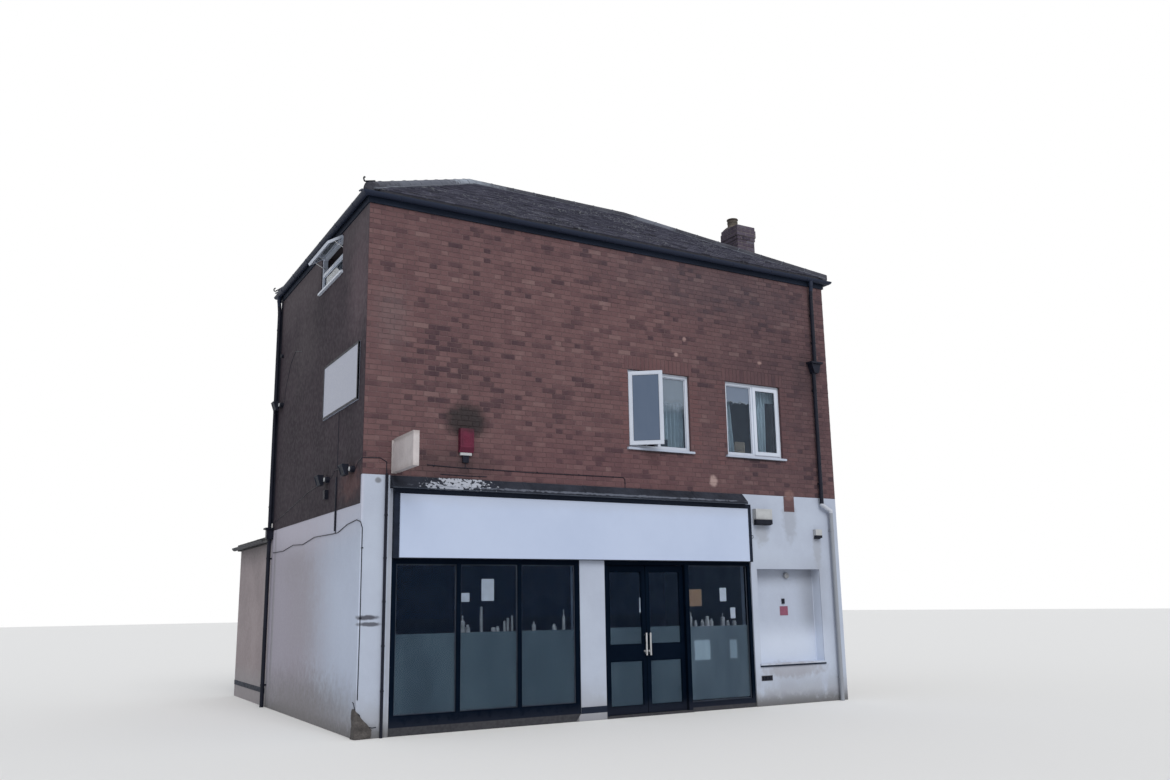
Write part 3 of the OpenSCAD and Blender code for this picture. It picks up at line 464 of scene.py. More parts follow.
    def ripple(self, seed: int, size: float, scale: float, axes: Point = (1, 1, 1)) -> "Piece":
        """Moves the vertices by smooth seeded waves.

        Args:
            seed: Seed of the waves.
            size: Largest move.
            scale: Length of the longest waves.
            axes: Share of the move along x, y and z.

        Returns:
            The piece itself.
        """
        rng = np.random.default_rng(seed)
        co = self.points()
        shift = np.zeros_like(co)
        for octave in range(4):
            wave = rng.normal(size=(3, 3)) * 2 * math.pi / scale * 1.9 ** octave / 1.6
            shift += np.sin(co @ wave + rng.uniform(0, 6.3, 3)) / 1.7 ** octave
        self.place(co + shift * np.array(axes) * size / 2)
        return self

    def finish(self, name: str, look: "Look", body: Body = Body.BUILDING,
               slot: str | None = None) -> "Piece":
        """Moves the piece into the part's frame, dresses it and lets it ride on its body.

        Args:
            name: Name of the finished piece.
            look: Its finish.
            body: The body that carries it.
            slot: Not used.

        Returns:
            The piece itself.
        """
        self.obj.name = name
        self.obj.data.name = name
        self.obj.data.transform(Matrix.Translation(Site.origin))
        self.obj.data.materials.clear()
        self.obj.data.materials.append(look.material())
        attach(self.obj, body.value)
        log.info("%s: %d faces", name, len(self.obj.data.polygons))
        return self


def joined(pieces: Sequence[Piece]) -> Piece:
    """Joins several pieces into the first."""
    return pieces[0].join(*pieces[1:])


def tube(path: Sequence[Place], radius: float, sides: int = 12) -> Piece:
    """Sweeps a round section along a path, closed at both ends.

    Args:
        path: The points of its middle line.
        radius: Radius of the section.
        sides: Number of sides, in fours.

    Returns:
        The piece.
    """
    curve = bpy.data.curves.new("path", "CURVE")
    curve.dimensions = "3D"
    curve.bevel_depth = radius
    curve.bevel_resolution = sides // 4
    curve.use_fill_caps = True
    line = curve.splines.new("POLY")
    line.points.add(len(path) - 1)
    for point, place in zip(line.points, path):
        point.co = (*place, 1.0)
    obj = bpy.data.objects.new("path", curve)
    bpy.context.scene.collection.objects.link(obj)
    activate(obj)
    bpy.ops.object.convert(target="MESH")
    return Piece(bpy.context.active_object).merge()


def rounded(path: Sequence[Place], reach: float, steps: int = 4) -> list[Vector]:
    """Rounds the corners of a path.

    Args:
        path: Its corner points.
        reach: Distance from a corner at which the bend starts.
        steps: Number of pieces in each bend.

    Returns:
        The rounded path.
    """
    points = [Vector(p) for p in path]
    found = [points[0]]
    for before, here, after in zip(points, points[1:], points[2:]):
        near = min(reach, (here - before).length / 2.2, (after - here).length / 2.2)
        start = here + (before - here).normalized() * near
        end = here + (after - here).normalized() * near
        for step in range(steps + 1):
            t = step / steps
            found.append(start * (1 - t) ** 2 + here * 2 * t * (1 - t) + end * t ** 2)
    return found + [points[-1]]


def frame_of(low: Place, high: Place, width: float, bevel: float = 0.0,
             through: int = 1) -> Piece:
    """Makes a picture frame from a box: two opposite faces inset and bridged.

    Args:
        low: Lowest corner of the outside.
        high: Highest corner of the outside.
        width: Face width of the frame.
        bevel: Width of the bevel on its edges, or 0 for none.
        through: Axis that the opening runs along: 0, 1 or 2.

    Returns:
        The piece.
    """
    piece = Piece.block(low, high)
    piece.pick_faces(lambda c, n: abs(n[through]) > 0.9)
    with editing(piece.obj, Pick.FACE):
        bpy.ops.mesh.inset(thickness=width, depth=0, use_individual=True, use_even_offset=True)
        bpy.ops.mesh.bridge_edge_loops()
    return piece.bevel(bevel, 1) if bevel else piece


class Graph:
    """The nodes of a material or of the world, with short calls for the kinds used here."""

    def __init__(self, owner: bpy.types.Material | bpy.types.World) -> None:
        """Starts with no nodes, or on a material with its shader and output.

        Args:
            owner: The material or the world.
        """
        owner.use_nodes = True
        self.owner, self.tree = owner, owner.node_tree
        self.tree.nodes.clear()
        if isinstance(owner, bpy.types.Material):
            self.shader = self.add("ShaderNodeBsdfPrincipled")
            self.add("ShaderNodeOutputMaterial", {"Surface": self.shader.outputs[0]})
            self.place = self.add("ShaderNodeTexCoord").outputs["Object"]

    def feed(self, socket: Socket, value: object) -> None:
        """Feeds an input from another node, or with a constant.

        Args:
            socket: The input.
            value: A socket, a number, a vector or a plain colour.
        """
        if isinstance(value, Socket):
            self.tree.links.new(value, socket)
        else:
            socket.default_value = (*value, 1.0) if socket.type == "RGBA" else value

    def add(self, kind: str, feeds: dict | None = None, **settings: object) -> bpy.types.Node:
        """Adds a node.

        Args:
            kind: Type of the node.
            feeds: Values or sockets for its inputs, by name or number.
            **settings: Its own settings.

        Returns:
            The node.
        """
        node = self.tree.nodes.new(kind)
        for key, value in settings.items():
            setattr(node, key, value)
        for key, value in (feeds or {}).items():
            self.feed(node.inputs[key], value)
        return node

    def set(self, **values: object) -> None:
        """Feeds the shader's inputs, with _ for a blank in their names."""
        for key, value in values.items():
            self.feed(self.shader.inputs[key.replace("_", " ")], value)

    def moved(self, shift: Point = (0, 0, 0), scale: Point = (1, 1, 1)) -> Socket:
        """Gives the object coordinates scaled and then shifted."""
        return self.add("ShaderNodeMapping", {"Vector": self.place, "Location": shift,
                                              "Scale": scale}).outputs[0]

    def noise(self, scale: float, detail: float = 4.0, rough: float = 0.55,
              vector: Socket | None = None) -> Socket:
        """Gives a noise between 0 and 1, with so many waves in a metre and so many octaves."""
        return self.add("ShaderNodeTexNoise", {"Vector": vector or self.place, "Scale": scale,
                                               "Detail": detail, "Roughness": rough}).outputs[0]

    def spread(self, value: Socket, low: float, high: float, to_low: float = 0.0,
               to_high: float = 1.0) -> Socket:
        """Maps a range smoothly to another one.

        Args:
            value: The value.
            low: Start of its range.
            high: End of its range.
            to_low: What the start becomes.
            to_high: What the end becomes.

        Returns:
            The mapped value.
        """
        if low > high:
            low, high, to_low, to_high = high, low, to_high, to_low
        return self.add("ShaderNodeMapRange", {0: value, 1: low, 2: high, 3: to_low, 4: to_high},
                        interpolation_type="SMOOTHSTEP").outputs[0]

    def maths(self, kind: str, *values: Socket | float) -> Socket:
        """Joins two or three values by an operation."""
        return self.add("ShaderNodeMath", dict(enumerate(values)), operation=kind).outputs[0]

    def mix(self, share: object, a: object, b: object, blend: str = "MIX") -> Socket:
        """Mixes two colours, with a share of the second."""
        return self.add("ShaderNodeMix", {0: share, 6: a, 7: b}, data_type="RGBA",
                        blend_type=blend).outputs[2]

    def ramp(self, value: Socket, stops: Sequence[tuple[float, Colour]]) -> Socket:
        """Turns a value into a colour.

        Args:
            value: The value.
            stops: Places from 0 to 1 with their colours.

        Returns:
            The colour.
        """
        node = self.add("ShaderNodeValToRGB", {0: value})
        bits = node.color_ramp.elements
        while len(bits) < len(stops):
            bits.new(0.5)
        for bit, (place, colour) in zip(bits, stops):
            bit.position = place
            bit.color = (*colour, 1.0)
        return node.outputs[0]

    def axes(self) -> Sequence[Socket]:
        """Gives the object coordinates' three numbers."""
        return self.add("ShaderNodeSeparateXYZ", {0: self.place}).outputs

    def attribute(self, name: str) -> Socket:
        """Gives a number kept on the mesh."""
        return self.add("ShaderNodeAttribute", attribute_name=name).outputs["Fac"]

    def bump(self, height: Socket, strength: float, depth: float) -> None:
        """Gives the shader a bump of some strength, and a depth in metres."""
        self.set(Normal=self.add("ShaderNodeBump", {"Height": height, "Strength": strength,
                                                    "Distance": depth}).outputs[0])


@dataclass(frozen=True)
class Layer:
    """A tint laid over part of a finish, placed in wall coordinates."""

    colour: Colour

    def share(self, graph: Graph) -> Socket | float:
        """Gives how much of the tint shows at each place; each kind of layer has its own."""
        raise NotImplementedError

    def lay(self, graph: Graph, under: Socket) -> Socket:
        """Lays the tint over a colour."""
        return graph.mix(self.share(graph), under, self.colour)


@dataclass(frozen=True)
class Spot(Layer):
    """A tint round a place of the wall, used for stains and for painted light and shade."""

    centre: Point
    reach: Point
    strength: float = 0.8
    ragged: float = 0.5
    fade: float = 0.45
    scale: float = 9.0

    def share(self, graph: Graph) -> Socket:
        """Gives the tint's share, which fades to its ragged edge.

        Args:
            graph: The material's nodes.

        Returns:
            The share.
        """
        middle = Vector(self.centre) + Site.origin
        shift = tuple(-m / r for m, r in zip(middle, self.reach))
        scaled = graph.moved(shift, tuple(1 / r for r in self.reach))
        off = graph.add("ShaderNodeVectorMath", {0: scaled}, operation="LENGTH").outputs["Value"]
        wander = graph.maths("MULTIPLY_ADD", graph.noise(self.scale, 5.0), self.ragged,
                             -self.ragged / 2)
        return graph.spread(graph.maths("ADD", off, wander), 1.0, self.fade, 0.0, self.strength)


@dataclass(frozen=True)
class Patch(Layer):
    """A tint between two corners; None leaves a side open."""

    low: tuple[float | None, ...]
    high: tuple[float | None, ...]
    strength: float = 0.8
    soft: float = 0.01
    ragged: float = 0.0
    scale: float = 9.0

    def share(self, graph: Graph) -> Socket | float:
        """Gives the tint's share, which ends softly at each side.

        Args:
            graph: The material's nodes.

        Returns:
            The share.
        """
        share = self.strength
        wander = graph.spread(graph.noise(self.scale, 5.0), 0.0, 1.0, -self.ragged, self.ragged)
        for axis, low, high, shift in zip(graph.axes(), self.low, self.high, Site.origin):
            if self.ragged:
                axis = graph.maths("ADD", axis, wander)
            for edge, inwards in ((low, self.soft), (high, -self.soft)):
                if edge is not None:
                    share = graph.maths("MULTIPLY", share, graph.spread(
                        axis, edge + shift - inwards, edge + shift + inwards))
        return share


@dataclass(frozen=True)
class Band(Layer):
    """A tint between two heights, densest at the first, used for dirt and for painted light and
    shade.
    """

    dense: float
    clear: float
    strength: float = 0.7
    scale: float = 5.0
    stretch: float = 1.0

    def share(self, graph: Graph) -> Socket:
        """Gives the tint's share, in patches that thin out with the height.

        Args:
            graph: The material's nodes.

        Returns:
            The share.
        """
        height = graph.spread(graph.axes()[2], self.clear, self.dense)
        patches = graph.noise(self.scale, 6.0, 0.6, graph.moved(scale=(1, 1, 1 / self.stretch)))
        dense = graph.maths("ADD", patches, graph.maths("MULTIPLY", height, 0.25))
        return graph.maths("MULTIPLY", graph.maths("MULTIPLY", height, self.strength),
                           graph.spread(dense, 0.38, 0.66))


@dataclass(frozen=True)
class Look:
    """A finish made of two colours in blotches, fine grain, a bump and layers of wear and of
    painted light and shade.
    """

    name: str
    slot: str
    light: Colour
    dark: Colour
    blotch: float
    grain: float
    grain_share: float
    rough: float = 0.7
    bump: float = 0.3
    depth: float = 0.002
    metallic: float = 0.0
    specular: float = 0.5
    stretch: Point = (1, 1, 1)
    layers: tuple[Layer, ...] = ()

    def material(self) -> bpy.types.Material:
        """Makes the material, or finds it where it was made before."""
        found = bpy.data.materials.get(self.name)
        return found or self.build(Graph(bpy.data.materials.new(self.name)))

    def colour(self, graph: Graph) -> Socket:
        """Gives the colour before the layers of wear."""
        blotch = graph.noise(self.blotch, 5.0, 0.62, graph.moved(scale=self.stretch))
        return graph.mix(graph.spread(blotch, 0.3, 0.7), self.dark, self.light)

    def relief(self, graph: Graph, fine: Socket) -> Socket:
        """Gives the height for the bump: here the fine grain alone."""
        return fine

    def build(self, graph: Graph) -> bpy.types.Material:
        """Builds the material's nodes.

        Args:
            graph: The material's nodes, with its shader.

        Returns:
            The material.
        """
        fine = graph.noise(self.grain, 4.0, 0.6, graph.moved(scale=self.stretch))
        shade = graph.spread(fine, 0.25, 0.75, 1 - self.grain_share, 1.0)
        grey = graph.add("ShaderNodeCombineColor", {0: shade, 1: shade, 2: shade}).outputs[0]
        tint = graph.mix(1.0, self.colour(graph), grey, "MULTIPLY")
        for layer in self.layers:
            tint = layer.lay(graph, tint)
        rough = graph.spread(graph.noise(self.grain / 4, 3.0), 0.3, 0.7,
                             max(self.rough - ROUGH_SPREAD, 0.02),
                             min(self.rough + ROUGH_SPREAD, 1.0))
        graph.set(Base_Color=tint, Roughness=rough, Metallic=self.metallic,
                  Specular_IOR_Level=self.specular)
        graph.bump(self.relief(graph, fine), self.bump, self.depth)
        return graph.owner


@dataclass(frozen=True)
class Trowelled(Look):
    """Painted render: soft trowel waves under a fine grit."""

    wave: float = 6.0

    def relief(self, graph: Graph, fine: Socket) -> Socket:
        """Adds the trowel waves to the grit."""
        waves = graph.noise(self.wave, 3.0, 0.5)
        return graph.maths("ADD", graph.maths("MULTIPLY", waves, 3.0), fine)


@dataclass(frozen=True)
class Unit(Look):
    """Bricks or tiles: each one's own tone is kept on the mesh as a number."""

    stops: tuple[tuple[float, Colour], ...] = ()
    fresh: Colour = (0.155, 0.077, 0.08)
    lichen: Colour = (0.3, 0.3, 0.27)
    lichen_share: float = 0.0
    lichen_scale: float = 22.0

    def colour(self, graph: Graph) -> Socket:
        """Gives each unit its tone, a few a fresher colour, and lichen where there is some.

        Args:
            graph: The material's nodes.

        Returns:
            The colour.
        """
        tone = graph.maths("ADD", graph.attribute("tone"),
                           graph.spread(graph.noise(self.blotch, 4.0), 0.3, 0.7, -0.12, 0.12))
        tint = graph.mix(graph.attribute("fresh"), graph.ramp(tone, self.stops), self.fresh)
        if self.lichen_share:
            spots = graph.noise(self.lichen_scale, 6.0, 0.68)
            patch = graph.spread(graph.noise(1.3, 3.0), 0.35, 0.7, -0.07, 0.07)
            edge = 0.74 - 0.24 * self.lichen_share
            tint = graph.mix(graph.spread(graph.maths("ADD", spots, patch), edge, edge + 0.07,
                                          0.0, 0.85), tint, self.lichen)
        return tint


@dataclass(frozen=True)
class Glazing(Look):
    """Tinted glass with faint smears, and painted sky reflections laid over it as a flat hazy
    colour.
    """

    index: float = 1.3
    glint: Colour = (1, 1, 1)
    painted_reflections: tuple[Patch, ...] = ()

    def build(self, graph: Graph) -> bpy.types.Material:
        """Builds the glass.

        Args:
            graph: The material's nodes, with its shader.

        Returns:
            The material.
        """
        smear = graph.noise(self.blotch, 5.0, 0.6, graph.moved(scale=(1, 1, 0.35)))
        tint = graph.mix(graph.spread(smear, 0.35, 0.7), self.light, self.dark)
        through = 1.0
        # Painted reflection: each patch lays a sky colour over the glass and lets less light
        # through there.
        for sky_reflection in self.painted_reflections:
            tint = sky_reflection.lay(graph, tint)
            through = graph.maths("MULTIPLY", through,
                                  graph.maths("SUBTRACT", 1.0, sky_reflection.share(graph)))
        graph.set(Base_Color=tint, Roughness=0.0, Transmission_Weight=through, IOR=self.index,
                  Specular_Tint=self.glint)
        return graph.owner


ROUGH_SPREAD = 0.12
PLAIN = (1, 1, 1)
DIRT = (0.1, 0.099, 0.102)
PALE_DIRT = (0.27, 0.272, 0.29)
SOOT = (0.02, 0.018, 0.02)
BRICK_TONES = ((0.0, (0.062, 0.034, 0.043)), (0.25, (0.108, 0.058, 0.065)),
               (0.5, (0.136, 0.073, 0.078)), (0.75, (0.155, 0.086, 0.09)),
               (1.0, (0.19, 0.118, 0.118)))
CHIMNEY_TONES = tuple((p, (c[0] * 0.66, c[1] * 0.98, c[2] * 1.3)) for p, c in BRICK_TONES)
TILE_TONES = ((0.0, (0.04, 0.041, 0.062)), (0.35, (0.062, 0.063, 0.093)),
              (0.65, (0.084, 0.085, 0.122)), (1.0, (0.122, 0.122, 0.168)))
PALE_BRICK = (0.3, 0.2, 0.19)
BRICK_STAINS_AND_SILL_SHADOWS = (
    Spot(SOOT, (1.48, -0.01, 4.2), (0.42, 0.3, 0.34), 0.9),
    Spot(SOOT, (1.45, -0.01, 4.85), (0.16, 0.3, 0.95), 0.2, 0.5, 0.1),
    # Painted shadow: a thin dark line under each window sill, on the bricks and the mortar.
    Spot(SOOT, (4.82, -0.01, 3.965), (0.66, 0.2, 0.035), 0.7, 0.3),
    Spot(SOOT, (6.72, -0.01, 3.965), (0.66, 0.2, 0.035), 0.7, 0.3),
    Spot(SOOT, (1.3, -0.01, 3.55), (0.95, 0.3, 0.32), 0.4),
    Spot(SOOT, (1.47, -0.01, 3.57), (0.18, 0.3, 0.24), 0.55, 0.8, 0.2),
    Spot((0.1, 0.045, 0.055), (3.5, -0.01, 3.6), (3.3, 0.3, 0.9), 0.3, 0.6, 0.1),
    Spot(SOOT, (7.9, -0.01, 5.55), (0.35, 0.3, 0.5), 0.3),
    Spot((0.03, 0.022, 0.032), (7.4, -0.01, 5.2), (3.2, 0.3, 3.4), 0.4, 0.5, 0.1),
    Spot((0.055, 0.05, 0.062), (5.9, -0.01, 6.9), (3.4, 0.3, 0.9), 0.35, 0.9, 0.1),
    Spot((0.15, 0.12, 0.125), (0.35, -0.01, 5.6), (0.4, 0.3, 0.75), 0.3, 1.4, 0.1),
    Spot((0.36, 0.26, 0.25), (5.81, -0.01, 3.56), (0.1, 0.2, 0.12), 0.9, 0.7),
    Spot((0.22, 0.13, 0.12), (7.4, -0.01, 3.4), (0.14, 0.2, 0.12), 0.6, 0.7),
    Spot(PALE_BRICK, (5.33, -0.01, 5.88), (0.05, 0.2, 0.05)),
    Spot(PALE_BRICK, (5.15, -0.01, 5.6), (0.05, 0.2, 0.05)),
    Spot(PALE_BRICK, (6.9, -0.01, 5.65), (0.06, 0.2, 0.04)))
# Painted shade on the white side: darker towards the rear and lighter at the front corner; the last
# spot is a warmer stain near the top of the coat.
SIDE_STAINS_AND_PAINTED_SHADE = (
    Spot((0.34, 0.305, 0.36), (-0.01, 6.0, 1.3), (0.07, 5.4, 9.0), 0.8, 0.3, 0.55),
    Spot((0.56, 0.63, 0.79), (-0.01, 0.2, 1.6), (0.07, 2.6, 2.2), 0.55, 0.3, 0.1),
    Spot((0.52, 0.51, 0.6), (-0.01, 2.6, 3.1), (0.07, 4.5, 0.8), 0.65, 0.3, 0.35))
# Painted light and shade in the recess: lighter low down and on its right reveal, painted shade
# towards the top right and under its head.
RECESS_PAINTED_LIGHT_AND_SHADE = (
    Patch((0.7, 0.77, 0.9), (6.5, 0.0, 0.5), (8.1, None, 1.15), 0.45, 0.25),
    Patch((0.2, 0.215, 0.25), (7.72, 0.02, 1.2), (8.1, None, 2.3), 0.6, 0.2),
    Patch((0.8, 0.87, 1.0), (7.972, 0.012, 0.6), (8.1, None, 2.2), 0.5, 0.006),
    Patch((0.24, 0.25, 0.29), (6.5, 0.02, 1.95), (8.1, None, 2.3), 0.4, 0.16))
GROUND_DIRT_AND_GROOVE_SHADOW = (
    # Painted shadow: a dark line on the side at the edge of the pale strip near the rear corner,
    # for the shade of the gap there.
    Patch((0.1, 0.1, 0.11), (None, 4.908, 0.1), (0.0, 4.922, 2.95), 0.75, 0.004),
    Band(PALE_DIRT, 0.0, 0.7, 0.7, 4.0, 1.6),
    Band(DIRT, 0.0, 0.26, 0.85, 7.0),
    Patch((0.34, 0.35, 0.39), (3.25, None, None), (3.75, None, 0.105), 0.6, 0.006),
    Spot((0.2, 0.19, 0.2), (-0.01, 2.7, 0.15), (0.07, 4.5, 0.85), 0.8, 0.7, 0.1),
    Spot((0.3, 0.29, 0.31), (-0.01, 2.9, 1.6), (0.3, 1.5, 1.4), 0.25, 1.0, 0.05),
    Spot((0.27, 0.265, 0.28), (-0.01, 3.6, 2.3), (0.3, 1.4, 0.5), 0.25, 1.2, 0.05),
    # Painted shadow: a darker strip beside that gap.
    Spot((0.24, 0.24, 0.26), (-0.01, 4.86, 1.5), (0.07, 0.09, 2.2), 0.6, 0.3),
    Spot((0.045, 0.045, 0.06), (0.13, -0.01, 1.505), (0.21, 0.2, 0.042), 0.9, 0.9),
    Spot((0.05, 0.05, 0.065), (0.14, -0.01, 1.42), (0.2, 0.2, 0.036), 0.85, 0.9),
    Spot(DIRT, (0.22, -0.01, 3.3), (0.06, 0.2, 0.05), 0.7),
    Spot((0.26, 0.27, 0.3), (0.4, -0.01, 1.7), (0.035, 0.2, 2.6), 0.5, 0.8),
    Spot((0.2, 0.2, 0.22), (7.38, -0.01, 3.0), (0.2, 0.3, 0.5), 0.35, 1.2),
    Spot((0.22, 0.22, 0.23), (6.75, -0.01, 2.75), (0.2, 0.3, 0.25), 0.4, 1.2),
    Spot((0.24, 0.24, 0.25), (7.96, -0.01, 2.5), (0.12, 0.3, 0.4), 0.35, 1.2),
    Spot((0.2, 0.17, 0.16), (7.3, -0.01, 0.55), (0.8, 0.3, 0.18), 0.4, 1.4))
# Painted light on the brown coat: lighter towards the top and towards the front corner. It is also
# darker low down, and reddish near the corner where the brick shows.
UPPER_MARKS_AND_PAINTED_LIGHT = (
    Band((0.03, 0.024, 0.032), 3.0, 4.8, 0.6, 1.4, 2.0),
    Band((0.115, 0.098, 0.108), 7.3, 6.1, 0.6, 1.6, 3.0),
    Spot((0.115, 0.085, 0.1), (-0.01, 0.35, 6.2), (0.3, 0.8, 1.3), 0.75, 0.8, 0.1),
    Spot((0.13, 0.07, 0.07), (-0.01, 0.5, 3.3), (0.3, 0.75, 0.35), 0.6, 1.2, 0.1),
    Spot((0.085, 0.072, 0.08), (-0.01, 3.3, 5.9), (0.3, 1.2, 0.9), 0.4, 1.2, 0.05))
# Painted sky reflections on the upper panes: flat hazy colour where the glass mirrors the sky.
PAINTED_SKY_REFLECTIONS = (
    Patch((0.035, 0.062, 0.13), (4.1, -0.5, None), (4.74, 0.04, None), 0.85),
    Patch((0.12, 0.155, 0.22), (4.75, None, 4.75), (5.6, 0.4, None), 0.45, 0.16, 0.05),
    Patch((0.115, 0.145, 0.21), (6.1, None, 4.93), (6.71, 0.2, None), 0.88, 0.012, 0.07),
    Patch((0.2, 0.215, 0.25), (None, 1.2, 6.6), (-0.012, 2.6, None), 0.7))
FLAKES_AND_EDGE_HIGHLIGHT = (
    Spot((0.4, 0.43, 0.5), (1.42, -0.05, 3.31), (0.3, 0.5, 0.1), 0.95, 6.5, 0.75, 22.0),
    Spot((0.36, 0.39, 0.46), (1.15, -0.1, 3.24), (0.28, 0.5, 0.05), 0.9, 5.5, 0.75, 24.0),
    # Painted highlight: a thin light line along the flashing, where its edge catches the light.
    Spot((0.16, 0.18, 0.23), (3.9, -0.12, 3.24), (3.0, 0.06, 0.02), 0.6, 2.4, 0.6, 14.0))


class Looks:
    """The finishes of the shop building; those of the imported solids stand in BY_SLOT."""

    WHITE = Trowelled(
        "white_wall_paint", "white_render", (0.445, 0.5, 0.61), (0.4, 0.445, 0.55), 1.1, 90.0,
        0.08, 0.72, bump=0.35, depth=0.0035, specular=0.25,
        layers=SIDE_STAINS_AND_PAINTED_SHADE + RECESS_PAINTED_LIGHT_AND_SHADE + GROUND_DIRT_AND_GROOVE_SHADOW)
    BROWN = Trowelled(
        "brown_wall_paint", "brown_render", (0.046, 0.0345, 0.045), (0.03, 0.0225, 0.031), 0.9,
        60.0, 0.1, 0.85, bump=0.25, depth=0.0025, specular=0.2, layers=UPPER_MARKS_AND_PAINTED_LIGHT)
    BRICK = Unit("facing_brick", "red_brick", PLAIN, PLAIN, 5.0, 160.0, 0.2, 0.85, bump=0.5,
                 depth=0.0016, specular=0.3, stops=BRICK_TONES, layers=BRICK_STAINS_AND_SILL_SHADOWS)
    MORTAR = Look("wall_mortar", "red_brick", (0.168, 0.108, 0.112), (0.115, 0.076, 0.08), 3.0,
                  130.0, 0.25, 0.92, bump=0.6, specular=0.2, layers=BRICK_STAINS_AND_SILL_SHADOWS)
    CHIMNEY = Unit("chimney_brick_face", "chimney_brick", PLAIN, PLAIN, 6.0, 150.0, 0.3, 0.9,
                   bump=0.6, specular=0.25, stops=CHIMNEY_TONES, lichen=(0.16, 0.155, 0.16),
                   lichen_share=0.55)
    STACK = Look("chimney_mortar", "chimney_brick", (0.2, 0.175, 0.18), (0.1, 0.088, 0.095), 4.0,
                 110.0, 0.3, 0.95, bump=0.6, depth=0.003, specular=0.2)
    STORE = Trowelled(
        "store_wall_paint", "store_render", (0.32, 0.272, 0.285), (0.262, 0.222, 0.235), 1.2,
        80.0, 0.1, 0.78, bump=0.35, depth=0.003, layers=(
            Band(PALE_DIRT, 0.3, 0.75, 0.5, 4.0, 2.0),
            Band((0.05, 0.05, 0.055), 2.78, 2.3, 0.5, 3.0, 3.0)))
    PARTY = Trowelled(
        "party_wall_render", "party_render", (0.3, 0.27, 0.25), (0.22, 0.2, 0.185), 0.8, 60.0,
        0.2, 0.85, bump=0.45, depth=0.004, layers=(
            Band(DIRT, 7.3, 6.2, 0.6, 2.5, 4.0), Band(DIRT, 0.0, 0.8, 0.7, 3.0)))
    CONCRETE = Look(
        "shopfront_concrete", "concrete", (0.27, 0.25, 0.245), (0.17, 0.16, 0.155), 2.5, 90.0,
        0.25, 0.85, bump=0.5, layers=(
            Patch((0.012, 0.014, 0.022), (0.4, None, None), (6.5, 0.3, 0.125), 0.92, 0.004,
                  0.002),))
    BOARDS = Look("floor_boards", "boards", (0.3, 0.21, 0.14), (0.2, 0.135, 0.09), 3.0, 40.0,
                  0.3, 0.6, bump=0.4, stretch=(0.15, 7.0, 7.0))
    BLACK = Look("black_frame_coat", "black_frame", (0.002, 0.006, 0.015),
                 (0.001, 0.004, 0.011), 2.2, 240.0, 0.2, 0.5, bump=0.1, depth=0.0005,
                 specular=0.02, layers=(Band((0.03, 0.034, 0.05), 0.06, 0.3, 0.4, 9.0),))
    SHOP_GLASS = Glazing("shop_window_glass", "clear_glass", (0.65, 0.72, 0.78),
                         (0.57, 0.63, 0.69), 3.0, 70.0, 0.0, index=1.25, glint=(0.25, 0.5, 1.0))
    PANE = Glazing("upper_window_glass", "window_pane", (0.6, 0.7, 0.8), (0.52, 0.62, 0.72),
                   3.0, 70.0, 0.0, index=1.4, glint=(0.6, 0.75, 1.0), painted_reflections=PAINTED_SKY_REFLECTIONS)
    FROST = Look("frost_film", "clear_glass", (0.124, 0.155, 0.178), (0.092, 0.117, 0.136), 1.4,
                 300.0, 0.05, 0.6, bump=0.05, depth=0.0002, specular=0.1, stretch=(1, 1, 0.4))
    SIDE_FROST = Look(
        "side_light_film", "clear_glass", (0.178, 0.21, 0.237), (0.136, 0.164, 0.19), 1.4,
        300.0, 0.05, 0.6, bump=0.05, depth=0.0002, specular=0.1, stretch=(1, 1, 0.4), layers=(
            Patch((0.54, 0.62, 0.67), (5.37, None, 0.76), (5.67, None, 1.06), 0.85, 0.02, 0.01),
            Patch((0.45, 0.52, 0.57), (6.06, None, 0.76), (6.2, None, 1.05), 0.8, 0.02, 0.01)))
    # Painted highlight: a lighter grey for black beads and the flashing's drip, for the light their
    # edges catch.
    EDGE = Look("frame_edge_painted_highlight", "black_frame", (0.055, 0.066, 0.09), (0.03, 0.037, 0.055),
                2.5, 240.0, 0.15, 0.4, bump=0.08, depth=0.0004, specular=0.15)
    STEEL = Look("brushed_steel", "steel", (0.62, 0.63, 0.65), (0.5, 0.51, 0.53), 6.0, 90.0,
                 0.15, 0.3, bump=0.12, depth=0.0003, metallic=1.0, stretch=(6, 6, 0.2))
    SIGN = Look("sign_board_paint", "sign_white", (0.465, 0.54, 0.71), (0.435, 0.51, 0.68), 0.9,
                200.0, 0.03, 0.4, bump=0.05, depth=0.0004, specular=0.3, layers=(
                    Patch((0.36, 0.38, 0.48), (None, None, 4.4), (-0.02, None, None), 0.85),
                    Band((0.36, 0.38, 0.44), 3.13, 2.9, 0.3, 2.2, 5.0)))
    FLASHING = Look("flashing_lead", "flashing_grey", (0.03, 0.035, 0.052),
                    (0.011, 0.014, 0.023), 2.6, 60.0, 0.3, 0.6, bump=0.6, depth=0.004,
                    specular=0.15, layers=FLAKES_AND_EDGE_HIGHLIGHT)
    FRAME = Look("white_plastic_frame", "white_frame", (0.58, 0.63, 0.73), (0.53, 0.58, 0.68),
                 3.0, 200.0, 0.04, 0.35, bump=0.05, depth=0.0005, specular=0.3)
    TILE = Unit("roof_tile_clay", "roof_tile", PLAIN, PLAIN, 7.0, 120.0, 0.35, 0.88, bump=0.6,
                specular=0.25, stops=TILE_TONES, fresh=(0.022, 0.022, 0.032),
                lichen=(0.21, 0.222, 0.245), lichen_share=0.7)
    UNDER_TILE = Look("roof_bed", "roof_tile", (0.03, 0.031, 0.044), (0.018, 0.019, 0.028), 4.0,
                      90.0, 0.3, 0.95, bump=0.4)
